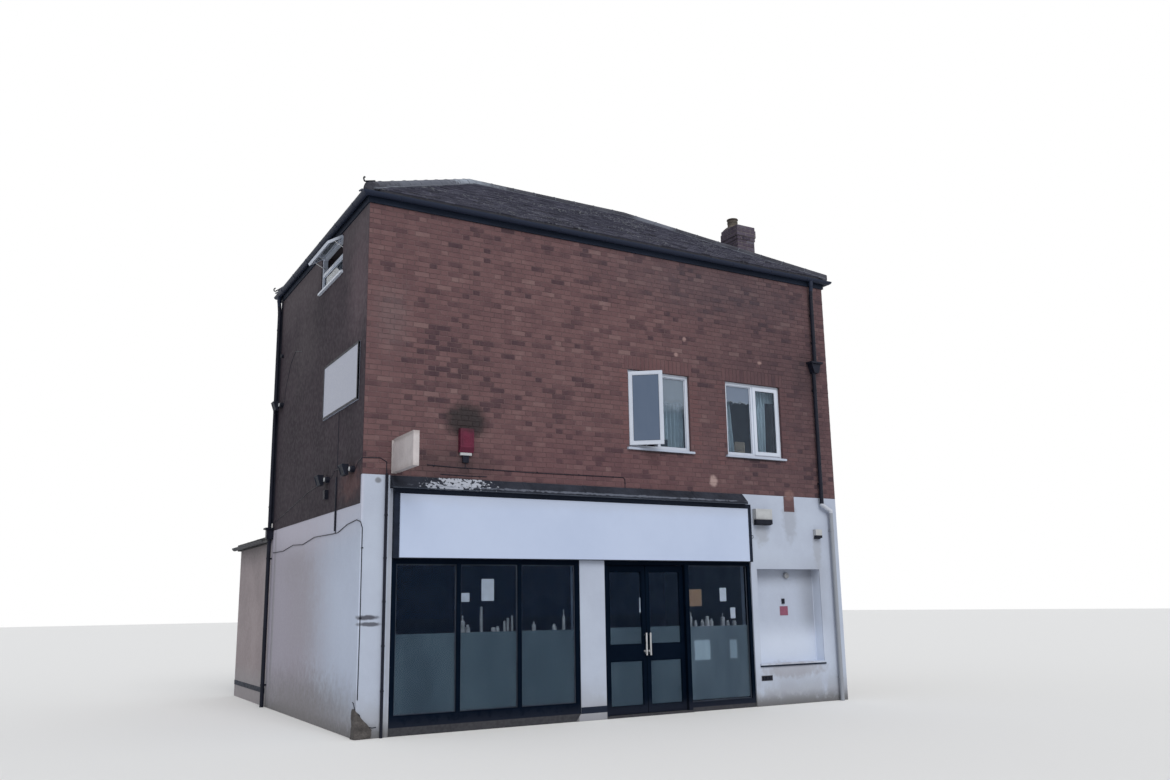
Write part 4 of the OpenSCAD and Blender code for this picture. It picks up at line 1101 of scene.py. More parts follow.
    CAPPING = Look("capping_tile", "hip_tile", (0.085, 0.088, 0.11), (0.042, 0.043, 0.058), 3.5,
                   80.0, 0.35, 0.9, bump=0.7, depth=0.004, specular=0.2, layers=(
                       Spot((0.16, 0.175, 0.22), (1.3, 1.3, 8.2), (2.2, 2.2, 1.5), 0.6, 1.4),
                       Spot((0.34, 0.38, 0.45), (2.35, 2.4, 9.0), (1.1, 1.1, 0.6), 0.75, 1.2,
                            0.2),
                       Spot((0.17, 0.185, 0.23), (6.3, 2.2, 8.8), (0.5, 0.8, 0.5), 0.7, 1.2)))
    BEDDING = Look("pale_bedding_mortar", "hip_tile", (0.2, 0.215, 0.26), (0.11, 0.12, 0.15),
                   5.0, 90.0, 0.4, 0.95, bump=0.8, depth=0.004, specular=0.15)
    CLAY = Look("pot_clay", "terracotta", (0.42, 0.36, 0.28), (0.32, 0.26, 0.2), 7.0, 120.0,
                0.25, 0.85, bump=0.5, layers=(Band(SOOT, 9.12, 9.02, 0.8, 8.0),))
    BOARD = Look("black_board_paint", "black_board", (0.016, 0.024, 0.045),
                 (0.009, 0.014, 0.028), 3.0, 120.0, 0.3, 0.6, bump=0.2, depth=0.0008,
                 specular=0.12, stretch=(0.3, 0.3, 3.0))
    PLASTIC = Look("black_rainwater_plastic", "black_plastic", (0.012, 0.014, 0.026),
                   (0.007, 0.009, 0.017), 4.0, 160.0, 0.15, 0.5, bump=0.1, depth=0.0005,
                   specular=0.15, layers=(
                       Patch((0.018, 0.025, 0.048), (None, None, 7.1), (None,) * 3, 0.9),
                       Patch((0.28, 0.3, 0.34), (8.14, -0.2, None), (8.5, 0.02, 3.2), 0.95),
                       Patch((0.5, 0.53, 0.6), (8.0, -0.2, 3.12), (8.5, 0.02, 3.27), 0.95)))
    CREAM = Look("cream_sign_plastic", "cream_sign", (0.56, 0.52, 0.53), (0.48, 0.445, 0.455),
                 3.5, 150.0, 0.1, 0.45, bump=0.1, depth=0.0006, specular=0.3, layers=(
                     Band((0.26, 0.22, 0.21), 3.36, 3.52, 0.5, 6.0, 2.0),
                     Band((0.28, 0.24, 0.23), 3.85, 3.76, 0.5, 6.0, 2.0)))
    RED = Look("red_case_plastic", "red_plastic", (0.135, 0.018, 0.045), (0.095, 0.014, 0.035),
               6.0, 160.0, 0.15, 0.5, bump=0.1, depth=0.0005, specular=0.2,
               layers=(Band(SOOT, 4.1, 3.98, 0.6, 9.0),))
    WHITE_PLASTIC = Look("white_case_plastic", "white_plastic", (0.46, 0.48, 0.5),
                         (0.39, 0.4, 0.42), 6.0, 160.0, 0.1, 0.45, bump=0.08, depth=0.0005,
                         specular=0.3)
    FELT = Look("roof_felt", "felt", (0.085, 0.085, 0.09), (0.045, 0.046, 0.05), 2.2, 220.0,
                0.4, 0.92, bump=0.7, specular=0.2)
    PAPER = Look("plain_card", "sign_white", (0.86, 0.84, 0.89), (0.76, 0.74, 0.79), 8.0, 200.0,
                 0.06, 0.8, bump=0.1, depth=0.0003)
    JAR = Look("pale_jar_glaze", "sign_white", (0.5, 0.48, 0.48), (0.32, 0.31, 0.32), 9.0,
               200.0, 0.1, 0.5, bump=0.1, depth=0.0004)
    TAN = Look("tan_card", "cream_sign", (0.42, 0.235, 0.125), (0.34, 0.19, 0.1), 8.0, 200.0,
               0.08, 0.8, bump=0.1, depth=0.0003)
    CLOTH = Look("curtain_cloth", "white_frame", (0.7, 0.74, 0.73), (0.58, 0.62, 0.61), 4.0,
                 500.0, 0.2, 0.95, bump=0.3, depth=0.0004)
    BOX = Look("brown_card_box", "boards", (0.4, 0.28, 0.17), (0.3, 0.2, 0.12), 9.0, 120.0,
               0.12, 0.8, bump=0.2, depth=0.0005)
    RUBBLE = Look("broken_render_core", "concrete", (0.11, 0.1, 0.098), (0.055, 0.05, 0.05),
                  12.0, 60.0, 0.45, 0.95, bump=0.9, depth=0.006)
    RED_CARD = Look("red_notice_card", "red_plastic", (0.24, 0.065, 0.12), (0.19, 0.05, 0.095),
                    9.0, 200.0, 0.08, 0.5, bump=0.05, depth=0.0003)
    LENS = Look("lamp_lens", "clear_glass", (0.012, 0.017, 0.032), (0.005, 0.008, 0.016), 14.0,
                300.0, 0.1, 0.5, bump=0.1, depth=0.0005, specular=0.08)
    DULL = Look("dull_grey_plastic", "black_plastic", (0.05, 0.048, 0.06), (0.03, 0.029, 0.037),
                9.0, 160.0, 0.15, 0.6, bump=0.1, depth=0.0005, specular=0.15)
    GREY_PIPE = Look("grey_pipe_plastic", "white_plastic", (0.3, 0.31, 0.33),
                     (0.22, 0.23, 0.25), 5.0, 160.0, 0.15, 0.5, bump=0.15, depth=0.0006)

    BY_SLOT = {look.slot: look for look in (
        WHITE, BROWN, MORTAR, STORE, PARTY, CONCRETE, BOARDS, BLACK, SHOP_GLASS, PANE, STEEL,
        SIGN, FLASHING, FRAME, UNDER_TILE, CAPPING, STACK, CLAY, BOARD, PLASTIC, CREAM, RED,
        WHITE_PLASTIC, FELT)}

    @classmethod
    def dress(cls, nodes: dict[str, bpy.types.Object]) -> None:
        """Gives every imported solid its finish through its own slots.

        Args:
            nodes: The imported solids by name.
        """
        for name, obj in nodes.items():
            for place in obj.material_slots:
                slot = place.material.name.split(".")[0]
                place.material = cls.BY_SLOT[slot].material()
            log.info("%s: packed solid dressed", name)


@dataclass
class Studio:
    """The plain pale floor, the soft light and the camera at the photograph's angle."""

    eye: Point = (-3.862, -12.574, 1.618)
    yaw: float = -29.87
    pitch: float = 11.22
    roll: float = 0.88
    focal: float = 975.1
    centre: tuple[float, float] = (581.2, 412.0)
    picture: tuple[int, int] = (1170, 780)
    sight: float = 500.0
    floor_size: float = 260.0
    floor_drop: float = 0.001
    sky: float = 0.56
    sky_tint: Colour = (0.93, 0.96, 1.0)
    sun: float = 1.75
    sun_width: float = 35.0
    sun_tint: Colour = (1.0, 0.98, 0.95)
    sun_from: Point = (-0.12, -0.72, 0.68)

    @staticmethod
    def shown(name: str, data: bpy.types.ID) -> bpy.types.Object:
        """Puts a camera or lamp into the scene.

        Args:
            name: Its name.
            data: Its data.

        Returns:
            The object.
        """
        obj = bpy.data.objects.new(name, data)
        bpy.context.scene.collection.objects.link(obj)
        return obj

    def camera(self) -> None:
        """Sets up the camera."""
        yaw, pitch, roll = (math.radians(a) for a in (self.yaw, self.pitch, self.roll))
        turn = (Matrix.Rotation(yaw, 3, "Z") @ Matrix.Rotation(pitch, 3, "X")
                @ Matrix.Rotation(roll, 3, "Y"))
        data = bpy.data.cameras.new("camera")
        obj = self.shown("camera", data)
        right, ahead, up = turn.col
        pose = Matrix((right, up, -ahead)).transposed().to_4x4()
        obj.matrix_world = Matrix.Translation(Vector(self.eye) + Site.origin) @ pose
        wide, high = self.picture
        data.lens = data.sensor_width * self.focal / wide
        data.shift_x = (wide / 2 - self.centre[0]) / wide
        data.shift_y = (self.centre[1] - high / 2) / wide
        data.clip_end = self.sight
        bpy.context.scene.camera = obj
        bpy.context.scene.view_settings.view_transform = "Standard"

    def light(self) -> None:
        """Sets up a pale sky, white where it is seen, and one broad soft lamp."""
        world = bpy.data.worlds.new("studio")
        bpy.context.scene.world = world
        graph = Graph(world)
        rays = graph.add("ShaderNodeLightPath").outputs
        seen = rays["Is Camera Ray"]
        for name in ("Is Glossy Ray", "Is Transmission Ray"):
            seen = graph.maths("MAXIMUM", seen, rays[name])
        sky = graph.add("ShaderNodeBackground", {0: self.sky_tint, 1: self.sky}).outputs[0]
        white = graph.add("ShaderNodeBackground", {0: (1.0, 1.0, 1.0), 1: 1.0}).outputs[0]
        mix = graph.add("ShaderNodeMixShader", {0: seen, 1: sky, 2: white}).outputs[0]
        graph.add("ShaderNodeOutputWorld", {0: mix})
        lamp = bpy.data.lights.new("key", "SUN")
        lamp.energy = self.sun
        lamp.angle = math.radians(self.sun_width)
        lamp.color = self.sun_tint
        obj = self.shown("key", lamp)
        obj.rotation_euler = Vector(self.sun_from).to_track_quat("Z", "Y").to_euler()

    def floor(self) -> None:
        """Lays a pale floor that keeps the building's shadow."""
        floor = Piece.grid(4, 4, (self.floor_size, self.floor_size, 1))
        floor.move((0, 0, -self.floor_drop)).obj.name = "studio_floor"
        graph = Graph(bpy.data.materials.new("studio_floor"))
        graph.set(Base_Color=(0.8, 0.8, 0.8), Roughness=0.9)
        floor.obj.data.materials.append(graph.owner)

    def build(self) -> None:
        """Sets up camera, light and floor."""
        self.camera()
        self.light()
        self.floor()
        log.info("studio ready")


@dataclass
class Opening:
    """A rectangle of a face: its edges along the face and upwards."""

    left: float
    right: float
    low: float
    high: float

    def holds(self, x: np.ndarray, z: np.ndarray) -> np.ndarray:
        """Tells which of some places lie in it."""
        return (x > self.left) & (x < self.right) & (z > self.low) & (z < self.high)


class Bond(Enum):
    """How the bricks of a face are laid."""

    STRETCHER = "stretcher"
    FLEMISH = "flemish"


@dataclass
class BrickFace:
    """Bricks laid in bond on one upright face, a little proud of the mortar.

    The face is given by its left end at its foot, seen from outside, and the way to its right
    end. It has no bricks in its openings, fresher ones in some areas and more dark ones in
    others.
    """

    foot: Point
    along: Vector
    length: float
    base: float
    top: float
    openings: Sequence[Opening] = ()
    fresh: Sequence[Opening] = ()
    dark: Sequence[Opening] = ()
    seed: int = 3
    first: int = 0
    bond: Bond = Bond.FLEMISH
    brick_l: float = 0.215
    header_l: float = 0.1025
    brick_h: float = 0.065
    joint: float = 0.010
    proud: float = 0.0045
    sunk: float = 0.004
    arris: float = 0.003
    least: float = 0.022
    uneven: float = 0.0007

    def template(self, length: float) -> Piece:
        """Makes one brick lying along x with its face towards -y."""
        brick = Piece.block((0, -self.proud, 0), (length, self.sunk, self.brick_h))
        return brick.pick_edges(lambda c, d: c.y < -self.proud + 1e-6).bevel_edges(self.arris)

    def wall(self) -> Piece:
        """Lays the whole face by repeating the bricks of two courses.

        Returns:
            The bricks, not yet cut to the openings.
        """
        step, rise = self.brick_l + self.joint, self.brick_h + self.joint
        brick = self.template(self.brick_l)
        self.corners = brick.corners
        if self.bond is Bond.FLEMISH:
            brick.join(self.template(self.header_l).move((step, 0, 0)))
            step += self.header_l + self.joint
        count = math.ceil(self.length / step) + 1
        odd = brick.copy((-step / 2, 0, rise)).row((step, 0, 0), count)
        brick.row((step, 0, 0), count).join(odd)
        brick.row((0, 0, 2 * rise), math.ceil((self.top - self.base) / rise / 2))
        return brick.move((0, 0, self.base + self.joint - (rise if self.first else 0)))

    def laid(self) -> Piece:
        """Lays the bricks, cuts them to the openings and puts them in their place.

        Returns:
            The bricks.
        """
        piece = self.wall()
        bricks = piece.points().reshape(-1, self.corners, 3)
        lows, highs = bricks.min(1), bricks.max(1)
        short = highs[:, 0] - lows[:, 0] < self.header_l + 0.01
        limits = [Opening(-9, 0, -9, 99), Opening(self.length, 99, -9, 99),
                  Opening(-9, 99, self.top, 99), Opening(-9, 99, -9, self.base)]
        keep = np.ones(len(bricks), bool)
        for hole in [*limits, *self.openings]:
            for i in np.nonzero(keep)[0]:
                keep[i] = self.trim(bricks[i], lows[i], highs[i], hole)
        x, _, z = ((lows + highs) / 2).T
        count = len(bricks)
        rng = np.random.default_rng(self.seed)
        tone = np.clip(rng.normal(0.5, 0.17, count), 0.18, 0.98)
        shift = rng.normal(0, self.uneven, count)
        cluster = np.clip(1 + np.sin(2.3 * x + 1.1 * z) * np.sin(1.7 * z - 0.8 * x), 0.3, 1.6)
        chance = np.where(self.within(x, z, self.dark), 0.2, 0.08) * np.where(short, 1.4, 0.8)
        burnt = rng.random(count) < chance * cluster
        tone = np.where(burnt, rng.uniform(0, 0.15, count), tone)
        newer = self.within(x, z, self.fresh) & (rng.random(count) < 0.85)
        fresh = np.where(newer, rng.uniform(0.45, 0.9, count), 0.0)
        bricks[..., 1] += shift[:, None]
        piece.place(bricks)
        piece.mark(self.corners, tone=tone, fresh=fresh)
        piece.drop(np.repeat(~keep, self.corners))
        return piece.move(self.foot, facing(self.along))

    def trim(self, brick: np.ndarray, low: np.ndarray, high: np.ndarray, hole: Opening) -> bool:
        """Shortens one brick to clear a hole, keeping its largest part.

        Args:
            brick: Its corners, changed in place.
            low: Its lowest corner, changed in place.
            high: Its highest corner, changed in place.
            hole: The hole.

        Returns:
            Whether enough of the brick is left.
        """
        if (high[0] <= hole.left or low[0] >= hole.right or high[2] <= hole.low
                or low[2] >= hole.high):
            return True
        size = high - low
        parts = ((hole.left - low[0]) / size[0], (high[0] - hole.right) / size[0],
                 (hole.low - low[2]) / size[2], (high[2] - hole.high) / size[2])
        best = int(np.argmax(parts))
        axis = 0 if best < 2 else 2
        if parts[best] * size[axis] < self.least:
            return False
        middle = (low[axis] + high[axis]) / 2
        edge = (hole.left, hole.right, hole.low, hole.high)[best]
        if best in (0, 2):
            brick[brick[:, axis] > middle, axis] -= high[axis] - edge
            high[axis] = edge
        else:
            brick[brick[:, axis] <= middle, axis] += edge - low[axis]
            low[axis] = edge
        return True

    @staticmethod
    def within(x: np.ndarray, z: np.ndarray, areas: Sequence[Opening]) -> np.ndarray:
        """Tells which of some places lie in any of the areas."""
        return np.any([area.holds(x, z) for area in areas], axis=0)


@dataclass
class Brickwork:
    """The brick faces of the front, the rear and the window arches."""

    length: float = 8.45
    depth: float = 5.2
    storey: float = 3.375
    top: float = 7.2
    windows: tuple[float, ...] = (4.212, 6.135)
    window_w: float = 1.18
    window_z: float = 4.01
    window_h: float = 1.25
    sill: float = 0.032
    sill_side: float = 0.045
    arch_side: float = 0.06
    store_w: float = 3.06
    store_h: float = 2.9
    rise: float = 0.075
    reveal: float = 0.044
    reveal_t: float = 0.0035
    slack: float = 0.002
    sooty: tuple[Opening, ...] = (Opening(0.9, 2.5, 4.2, 5.7),)

    def holes(self, behind: bool = False) -> list[Opening]:
        """Gives the holes of windows, sills and arches, three for each window.

        Args:
            behind: Whether the face is seen from behind.

        Returns:
            The holes.
        """
        found = []
        for left in self.windows:
            if behind:
                left = self.length - left - self.window_w
            right, head = left + self.window_w, self.window_z + self.window_h
            side = self.sill_side + 2 * self.slack
            found += [Opening(left, right, self.window_z, head),
                      Opening(left - side, right + side, self.window_z - self.sill - self.slack,
                              self.window_z + self.slack),
                      Opening(left - self.arch_side, right + self.arch_side, head,
                              head + 3 * self.rise)]
        return found

    @staticmethod
    def toothed(holes: Sequence[Opening]) -> list[Opening]:
        """Gives the areas beside the windows where newer bricks are toothed in."""
        return [area for w in holes[::3] for area in (
            Opening(w.left - 0.2, w.left, w.low - 0.15, w.high),
            Opening(w.right, w.right + 0.22, w.low - 0.15, w.high))]

    def arches(self, name: str, foot: Point, along: Vector, holes: Sequence[Opening],
               seed: int) -> None:
        """Stands soldier bricks over the windows.

        Args:
            name: Name of the piece.
            foot: Left end of the face at its foot.
            along: Way to its right end.
            holes: The holes, three for each window.
            seed: Seed of the tones.
        """
        rows = []
        for place in holes[2::3]:
            brick = Piece.block((0, -BrickFace.proud - 0.001, 0),
                                (BrickFace.brick_h, BrickFace.sunk, BrickFace.brick_l))
            brick.pick_edges(lambda c, d: c.y < -BrickFace.proud - 0.0005)
            corners = brick.bevel_edges(BrickFace.arris).corners
            span = place.right - place.left + BrickFace.joint
            count = round(span / self.rise)
            brick.row((span / count, 0, 0), count)
            rows.append(brick.move((place.left, 0, place.low + self.slack)))
        piece = joined(rows)
        count = piece.corners // corners
        rng = np.random.default_rng(seed)
        piece.mark(corners, tone=rng.normal(0.42, 0.1, count), fresh=rng.uniform(0.1, 0.5, count))
        piece.move(foot, facing(along)).finish(name, Looks.BRICK)

    def reveals(self) -> None:
        """Lays the brick ends that show at the sides of the front windows."""
        rows = []
        low = self.window_z + 0.005
        for left in self.windows:
            for x, side in ((left, 1), (left + self.window_w, -1)):
                near, far = sorted((x, x + side * self.reveal_t))
                end = Piece.block((near, 0.001, low), (far, self.reveal, low + self.rise - 0.01))
                end.pick_edges(lambda c, d: (c.x - x) * side > 0.003)
                corners = end.bevel_edges(0.002).corners
                rows.append(end.row((0, 0, self.rise), int(self.window_h / self.rise)))
        piece = joined(rows)
        rng = np.random.default_rng(12)
        for key in ("tone", "fresh"):
            piece.mark(corners, **{key: rng.uniform(0.3, 0.6, piece.corners // corners)})
        piece.finish("window_reveal_bricks", Looks.BRICK)

    def build(self) -> None:
        """Lays the bricks of the front and the rear."""
        foot, back = (0, 0, 0), (self.length, self.depth, 0)
        holes = self.holes()
        BrickFace(foot, X, self.length, self.storey, self.top, holes, self.toothed(holes),
                  self.sooty, seed=5).laid().finish("front_bricks", Looks.BRICK)
        self.arches("front_arches", foot, X, holes, 8)
        self.reveals()
        holes = self.holes(behind=True)
        store = Opening(self.length - self.store_w, 99, -9, self.store_h)
        BrickFace(back, -X, self.length, 0.0, self.top, [*holes, store], self.toothed(holes),
                  seed=6).laid().finish("rear_bricks", Looks.BRICK)
        self.arches("rear_arches", back, -X, holes, 9)


@dataclass
class TiledRoof:
    """Plain tiles on the four slopes, their bedding at the hips, and the hip irons."""

    length: float = 8.45
    depth: float = 5.2
    out: float = 0.07
    eave: float = 7.4
    pitch: float = math.radians(32.5)
    tile_w: float = 0.165
    gap: float = 0.003
    gauge: float = 0.1
    lap: float = 0.016
    tail: float = 0.015
    head: float = 0.003
    bed_w: float = 0.05
    bed_t: float = 0.02
    bed_off: float = 0.125
    ridge_off: float = 0.008
    bed_end: float = 8.58
    cap_r: float = 0.115
    cap_drop: float = 0.055
    cap_l: float = 0.42
    ring_t: float = 0.007
    iron_r: float = 0.011

    def tile(self) -> Piece:
        """Makes one tile with its tail at y = 0, thicker there, lying on the slope.

        Returns:
            The tile.
        """
        foot = -0.003
        tile = Piece.block((self.gap / 2, -0.006, foot),
                           (self.tile_w - self.gap / 2, self.gauge + self.lap, self.tail))
        tile.pick_faces(lambda c, n: n.y > 0.9)
        tile.edit(Pick.FACE, bpy.ops.transform.resize, center_override=(0, 0, foot),
                  value=(1, 1, (self.head - foot) / (self.tail - foot)))
        tile.pick_edges(lambda c, d: c.y < 0 and c.z > 0 and abs(d.x) > 0.9)
        return tile.bevel_edges(0.004)

    def slope(self, name: str, corner: Point, along: Vector, span: float, seed: int) -> None:
        """Lays the tiles of one slope.

        Args:
            name: Name of the piece.
            corner: Left end of its tiled edge, seen from outside.
            along: Way to the right end.
            span: Length of its tiled edge.
            seed: Seed of the tones and the unevenness.
        """
        reach = (self.depth / 2 + self.out) / math.cos(self.pitch)
        columns, step = math.ceil(span / self.tile_w) + 1, (self.tile_w, 0, 0)
        tile = self.tile()
        corners = tile.corners
        odd = tile.copy((-self.tile_w / 2, self.gauge, 0)).row(step, columns)
        tile.row(step, columns).join(odd)
        tile.row((0, 2 * self.gauge, 0), math.ceil(math.ceil(reach / self.gauge) / 2))
        tiles = tile.points().reshape(-1, corners, 3)
        count = len(tiles)
        rng = np.random.default_rng(seed)
        middles = (tiles.min(1) + tiles.max(1))[:, None] / 2
        twist = rng.normal(0, 0.008, count)[:, None]
        tiles[..., 1] += (tiles[..., 0] - middles[..., 0]) * twist
        tiles[..., 0] += rng.normal(0, 0.0012, count)[:, None]
        nose = (tiles[..., 1] < middles[..., 1]) & (tiles[..., 2] > 0)
        tiles[..., 2] += nose * np.abs(rng.normal(0, 0.0022, count))[:, None]
        left = np.clip(tiles[..., 1] * math.cos(self.pitch), 0, None)
        tiles[..., 0] = np.clip(tiles[..., 0], left, span - left)
        tiles[..., 1] = np.minimum(tiles[..., 1], reach)
        wide, deep, _ = (tiles.max(1) - tiles.min(1)).T
        tile.place(tiles)
        tone = np.clip(rng.normal(0.45, 0.2, count), 0, 1)
        fresh = (rng.random(count) < 0.05) * rng.uniform(0.4, 0.9, count)
        tile.mark(corners, tone=tone, fresh=fresh)
        tile.drop(np.repeat((wide < 0.02) | (deep < 0.03), corners))
        tile.edit(Pick.VERTEX, bpy.ops.mesh.dissolve_degenerate, True, threshold=1e-5)
        up = Z.cross(along) * math.cos(self.pitch) + Z * math.sin(self.pitch)
        tile.move(corner, Matrix((along, up, along.cross(up))).transposed())
        tile.finish(name, Looks.TILE)

    def lines(self) -> list[tuple[Vector, Vector, Vector, Vector]]:
        """Finds each hip and the ridge.

        Returns:
            For each its foot, its head, and the normals of its two slopes.
        """
        a, b, c, d = self.corners()
        half = self.depth / 2 + self.out
        top = self.eave + half * math.tan(self.pitch)
        left = Vector((-self.out + half, self.depth / 2, top))
        right = Vector((self.length + self.out - half, self.depth / 2, top))
        fall, rise = math.sin(self.pitch), math.cos(self.pitch)
        front, rear = Vector((0, -fall, rise)), Vector((0, fall, rise))
        near, far = Vector((-fall, 0, rise)), Vector((fall, 0, rise))
        return [(a, left, front, near), (d, left, rear, near), (b, right, front, far),
                (c, right, rear, far), (left, right, front, rear)]

    def corners(self) -> list[Vector]:
        """Gives the corners of the tiled edge, from the open front one, round to the left."""
        end, far = self.length + self.out, self.depth + self.out
        return [Vector((x, y, self.eave)) for x, y in (
            (-self.out, -self.out), (end, -self.out), (end, far), (-self.out, far))]

    def bedding(self) -> None:
        """Lays the rough pale mortar along both sides of the capping."""
        done = []
        for number, (low, high, *normals) in enumerate(self.lines()):
            way, length = (high - low).normalized(), (high - low).length
            off = self.bed_off + (self.ridge_off if number == 4 else 0)
            for side, up in enumerate(normals):
                fall = up.cross(way)
                if fall.z > 0:
                    fall = -fall
                strip = Piece.grid(int(length / self.bed_w), 3, (length, self.bed_w, 1))
                strip.move((length / 2, 0, 0))
                strip.ripple(40 + 2 * number + side, 0.012, 0.35, (0, 1, 0.35))
                strip.pick_faces(lambda c, n: True).extrude((0, 0, self.bed_t)).merge()
                strip.move(low + fall * off, Matrix((way, up.cross(way), up)).transposed())
                done.append(strip.slice((self.bed_end, 0, 0), -X))
        joined(done).finish("hip_bedding", Looks.BEDDING)

    def cap_joints(self) -> None:
        """Puts a raised mortar ring at each joint of the half-round capping."""
        rings = []
        for low, high, one, two in self.lines():
            way, length = (high - low).normalized(), (high - low).length
            up = (one + two).normalized()
            ring = Piece.ring((0, 0, 0), way, self.cap_r, self.ring_t, 28).slice(up * 0.02, up)
            count = int(length / self.cap_l)
            for i in range(1, count + 1):
                place = low + way * (i * length / (count + 0.6)) - Z * self.cap_drop
                rings.append(ring.copy(place))
            ring.remove()
        joined(rings).smooth(50).finish("capping_joints", Looks.BEDDING)

    def hip_irons(self) -> None:
        """Curls an iron up at the foot of both hips of the open side, to hold the capping."""
        irons = []
        for low, high, one, two in self.lines()[:2]:
            way, up = (high - low).normalized(), (one + two).normalized()
            start = low - Z * self.cap_drop + up * (self.cap_r + 0.008)
            path = [start + way * 0.3, start + way * 0.02]
            for step in range(8):
                turn = math.radians(30 * step - 90)
                path.append(start + up * (0.03 + 0.03 * math.sin(turn))
                            - way * (0.012 + 0.03 * math.cos(turn)))
            irons.append(tube(path, self.iron_r, 8))
        joined(irons).smooth().finish("hip_irons", Looks.BLACK, slot="black_plastic")

    def build(self) -> None:
        """Lays the four slopes and their trims."""
        a, b, c, d = self.corners()
        wide, deep = self.length + 2 * self.out, self.depth + 2 * self.out
        self.slope("front_roof_tiles", a, X, wide, 21)
        self.slope("right_roof_tiles", b, Y, deep, 22)
        self.slope("rear_roof_tiles", c, -X, wide, 23)
        self.slope("left_roof_tiles", d, -Y, deep, 24)
        self.bedding()
        self.cap_joints()
        self.hip_irons()


@dataclass
class Chimney:
    """The brick relief of the stack, its lead and the trims of its pot."""

    left: float = 8.0
    right: float = 8.42
    front: float = 1.74
    back: float = 2.22
    top: float = 9.01
    foot: float = 7.6
    course: float = 0.075
    out: float = 0.012
    steps: tuple[int, ...] = (1, 2, 2, 1)
    pot: Point = (8.14, 2.05, 9.24)
    pot_r: float = 0.1
    lead_h: float = 0.13
    lead_z: float = 7.585
    apron_z: float = 7.768

    def faces(self, out: float, low: float, high: float, seed: int) -> list[Piece]:
        """Lays the four faces of one height of the stack.

        Args:
            out: How far this height stands out.
            low: Its foot.
            high: Its top.
            seed: Seed of the tones.

        Returns:
            The bricks of the four faces.
        """
        left, right = self.left - out, self.right + out
        front, back = self.front - out, self.back + out
        sides = ((left, front, X, right - left), (right, front, Y, back - front),
                 (right, back, -X, right - left), (left, back, -Y, back - front))
        return [BrickFace((x, y, 0), way, span, low - 0.005, high + 0.001, seed=seed + number,
                          first=seed % 2, bond=Bond.STRETCHER, arris=0.005, least=0.03).laid()
                for number, (x, y, way, span) in enumerate(sides)]

    def build(self) -> None:
        """Lays the stack, the oversailing courses, the lead and the pot's trims."""
        bricks = self.faces(0.0, self.foot, self.top - 4 * self.course, 50)
        for level, step in enumerate(self.steps):
            low = self.top - (4 - level) * self.course
            bricks += self.faces(step * self.out, low, low + self.course, 61 + 7 * level)
        joined(bricks).finish("chimney_bricks", Looks.CHIMNEY)
        pot = Vector(self.pot)
        trims = [Piece.ring(pot - Z * drop, Z, self.pot_r + out, thick, 32)
                 for drop, out, thick in ((0.012, 0.004, 0.012), (0.075, 0.001, 0.007))]
        joined(trims).smooth(60).finish("pot_rims", Looks.CLAY)
        turn = Matrix.Rotation(TiledRoof.pitch, 3, "Y")
        lead = []
        for y in (self.front - 0.007, self.back + 0.007):
            strip = Piece.block((-0.27, -0.004, -0.03), (0.27, 0.004, self.lead_h - 0.03), 0.0015)
            lead.append(strip.move(((self.left + self.right) / 2, y, self.lead_z), turn))
        near, far = self.front - 0.01, self.back + 0.01
        lead += [Piece.block((self.left - 0.14, near, self.apron_z),
                             (self.left + 0.01, far, self.apron_z + 0.017), 0.003),
                 Piece.block((self.left - 0.011, near, 7.7), (self.left, far, 7.9), 0.002)]
        joined(lead).finish("chimney_lead", Looks.FLASHING)


@dataclass
class Rainwater:
    """Brackets and joint bands of the gutters."""

    length: float = 8.45
    depth: float = 5.2
    board: float = 0.025
    radius: float = 0.056
    rim: float = 7.333
    spacing: float = 0.85
    strap: float = 0.004
    reach: float = 8.586

    def run(self, start: Point, way: Vector, span: float) -> list[Piece]:
        """Hangs the brackets of one straight gutter.

        Args:
            start: Corner of the wall where the run starts.
            way: Its direction, with the wall on its left.
            span: Its length.

        Returns:
            The brackets and bands.
        """
        axis = Vector(start) + Z * self.rim + way.cross(Z) * (self.board + self.radius)
        band = Piece.ring((0, 0, 0), X, self.radius + self.strap / 2, self.strap)
        band.move((0, 0, 0), Matrix.Diagonal((3.0, 1, 1)))
        band.slice(Z * 0.001, Z, keep_front=False)
        band.join(Piece.block((-0.012, self.radius - 0.004, -0.03),
                              (0.012, self.radius + 0.001, 0.01), 0.002))
        count = max(2, round(span / self.spacing))
        found = [band.copy(axis + way * (span * (i + 0.5) / count), facing(way))
                 for i in range(count)]
        band.remove()
        return found

    def build(self) -> None:
        """Hangs the brackets on all four sides."""
        w, d = self.length, self.depth
        runs = (self.run((0, 0, 0), X, w) + self.run((w, 0, 0), Y, d)
                + self.run((w, d, 0), -X, w) + self.run((0, d, 0), -Y, d))
        runs = joined(runs).slice((self.reach, 0, 0), -X)
        runs.smooth(40).finish("gutter_brackets", Looks.PLASTIC)


@dataclass
class SideRender:
    """The brown painted render of the open side, a thin coat with the window's opening."""

    depth: float = 5.2
    low: float = 2.99
    return_top: float = 3.375
    return_w: float = 0.055
    high: float = 7.204
    coat: float = 0.006
    window: Edges = (1.27, 2.47, 6.558, 7.19)

    def build(self) -> None:
        """Lays the coat from the corner to the rear."""
        near, far, sill, head = self.window
        skin = Piece.block((-self.coat, 0.0, self.low), (0.0015, self.depth, self.high))
        skin.cut_out((-0.1, near, sill), (0.1, far, head))
        skin.cut_out((-0.1, -0.1, self.low - 0.1), (0.1, self.return_w, self.return_top))
        skin.bevel(0.0025, 1).finish("side_render_coat", Looks.BROWN)


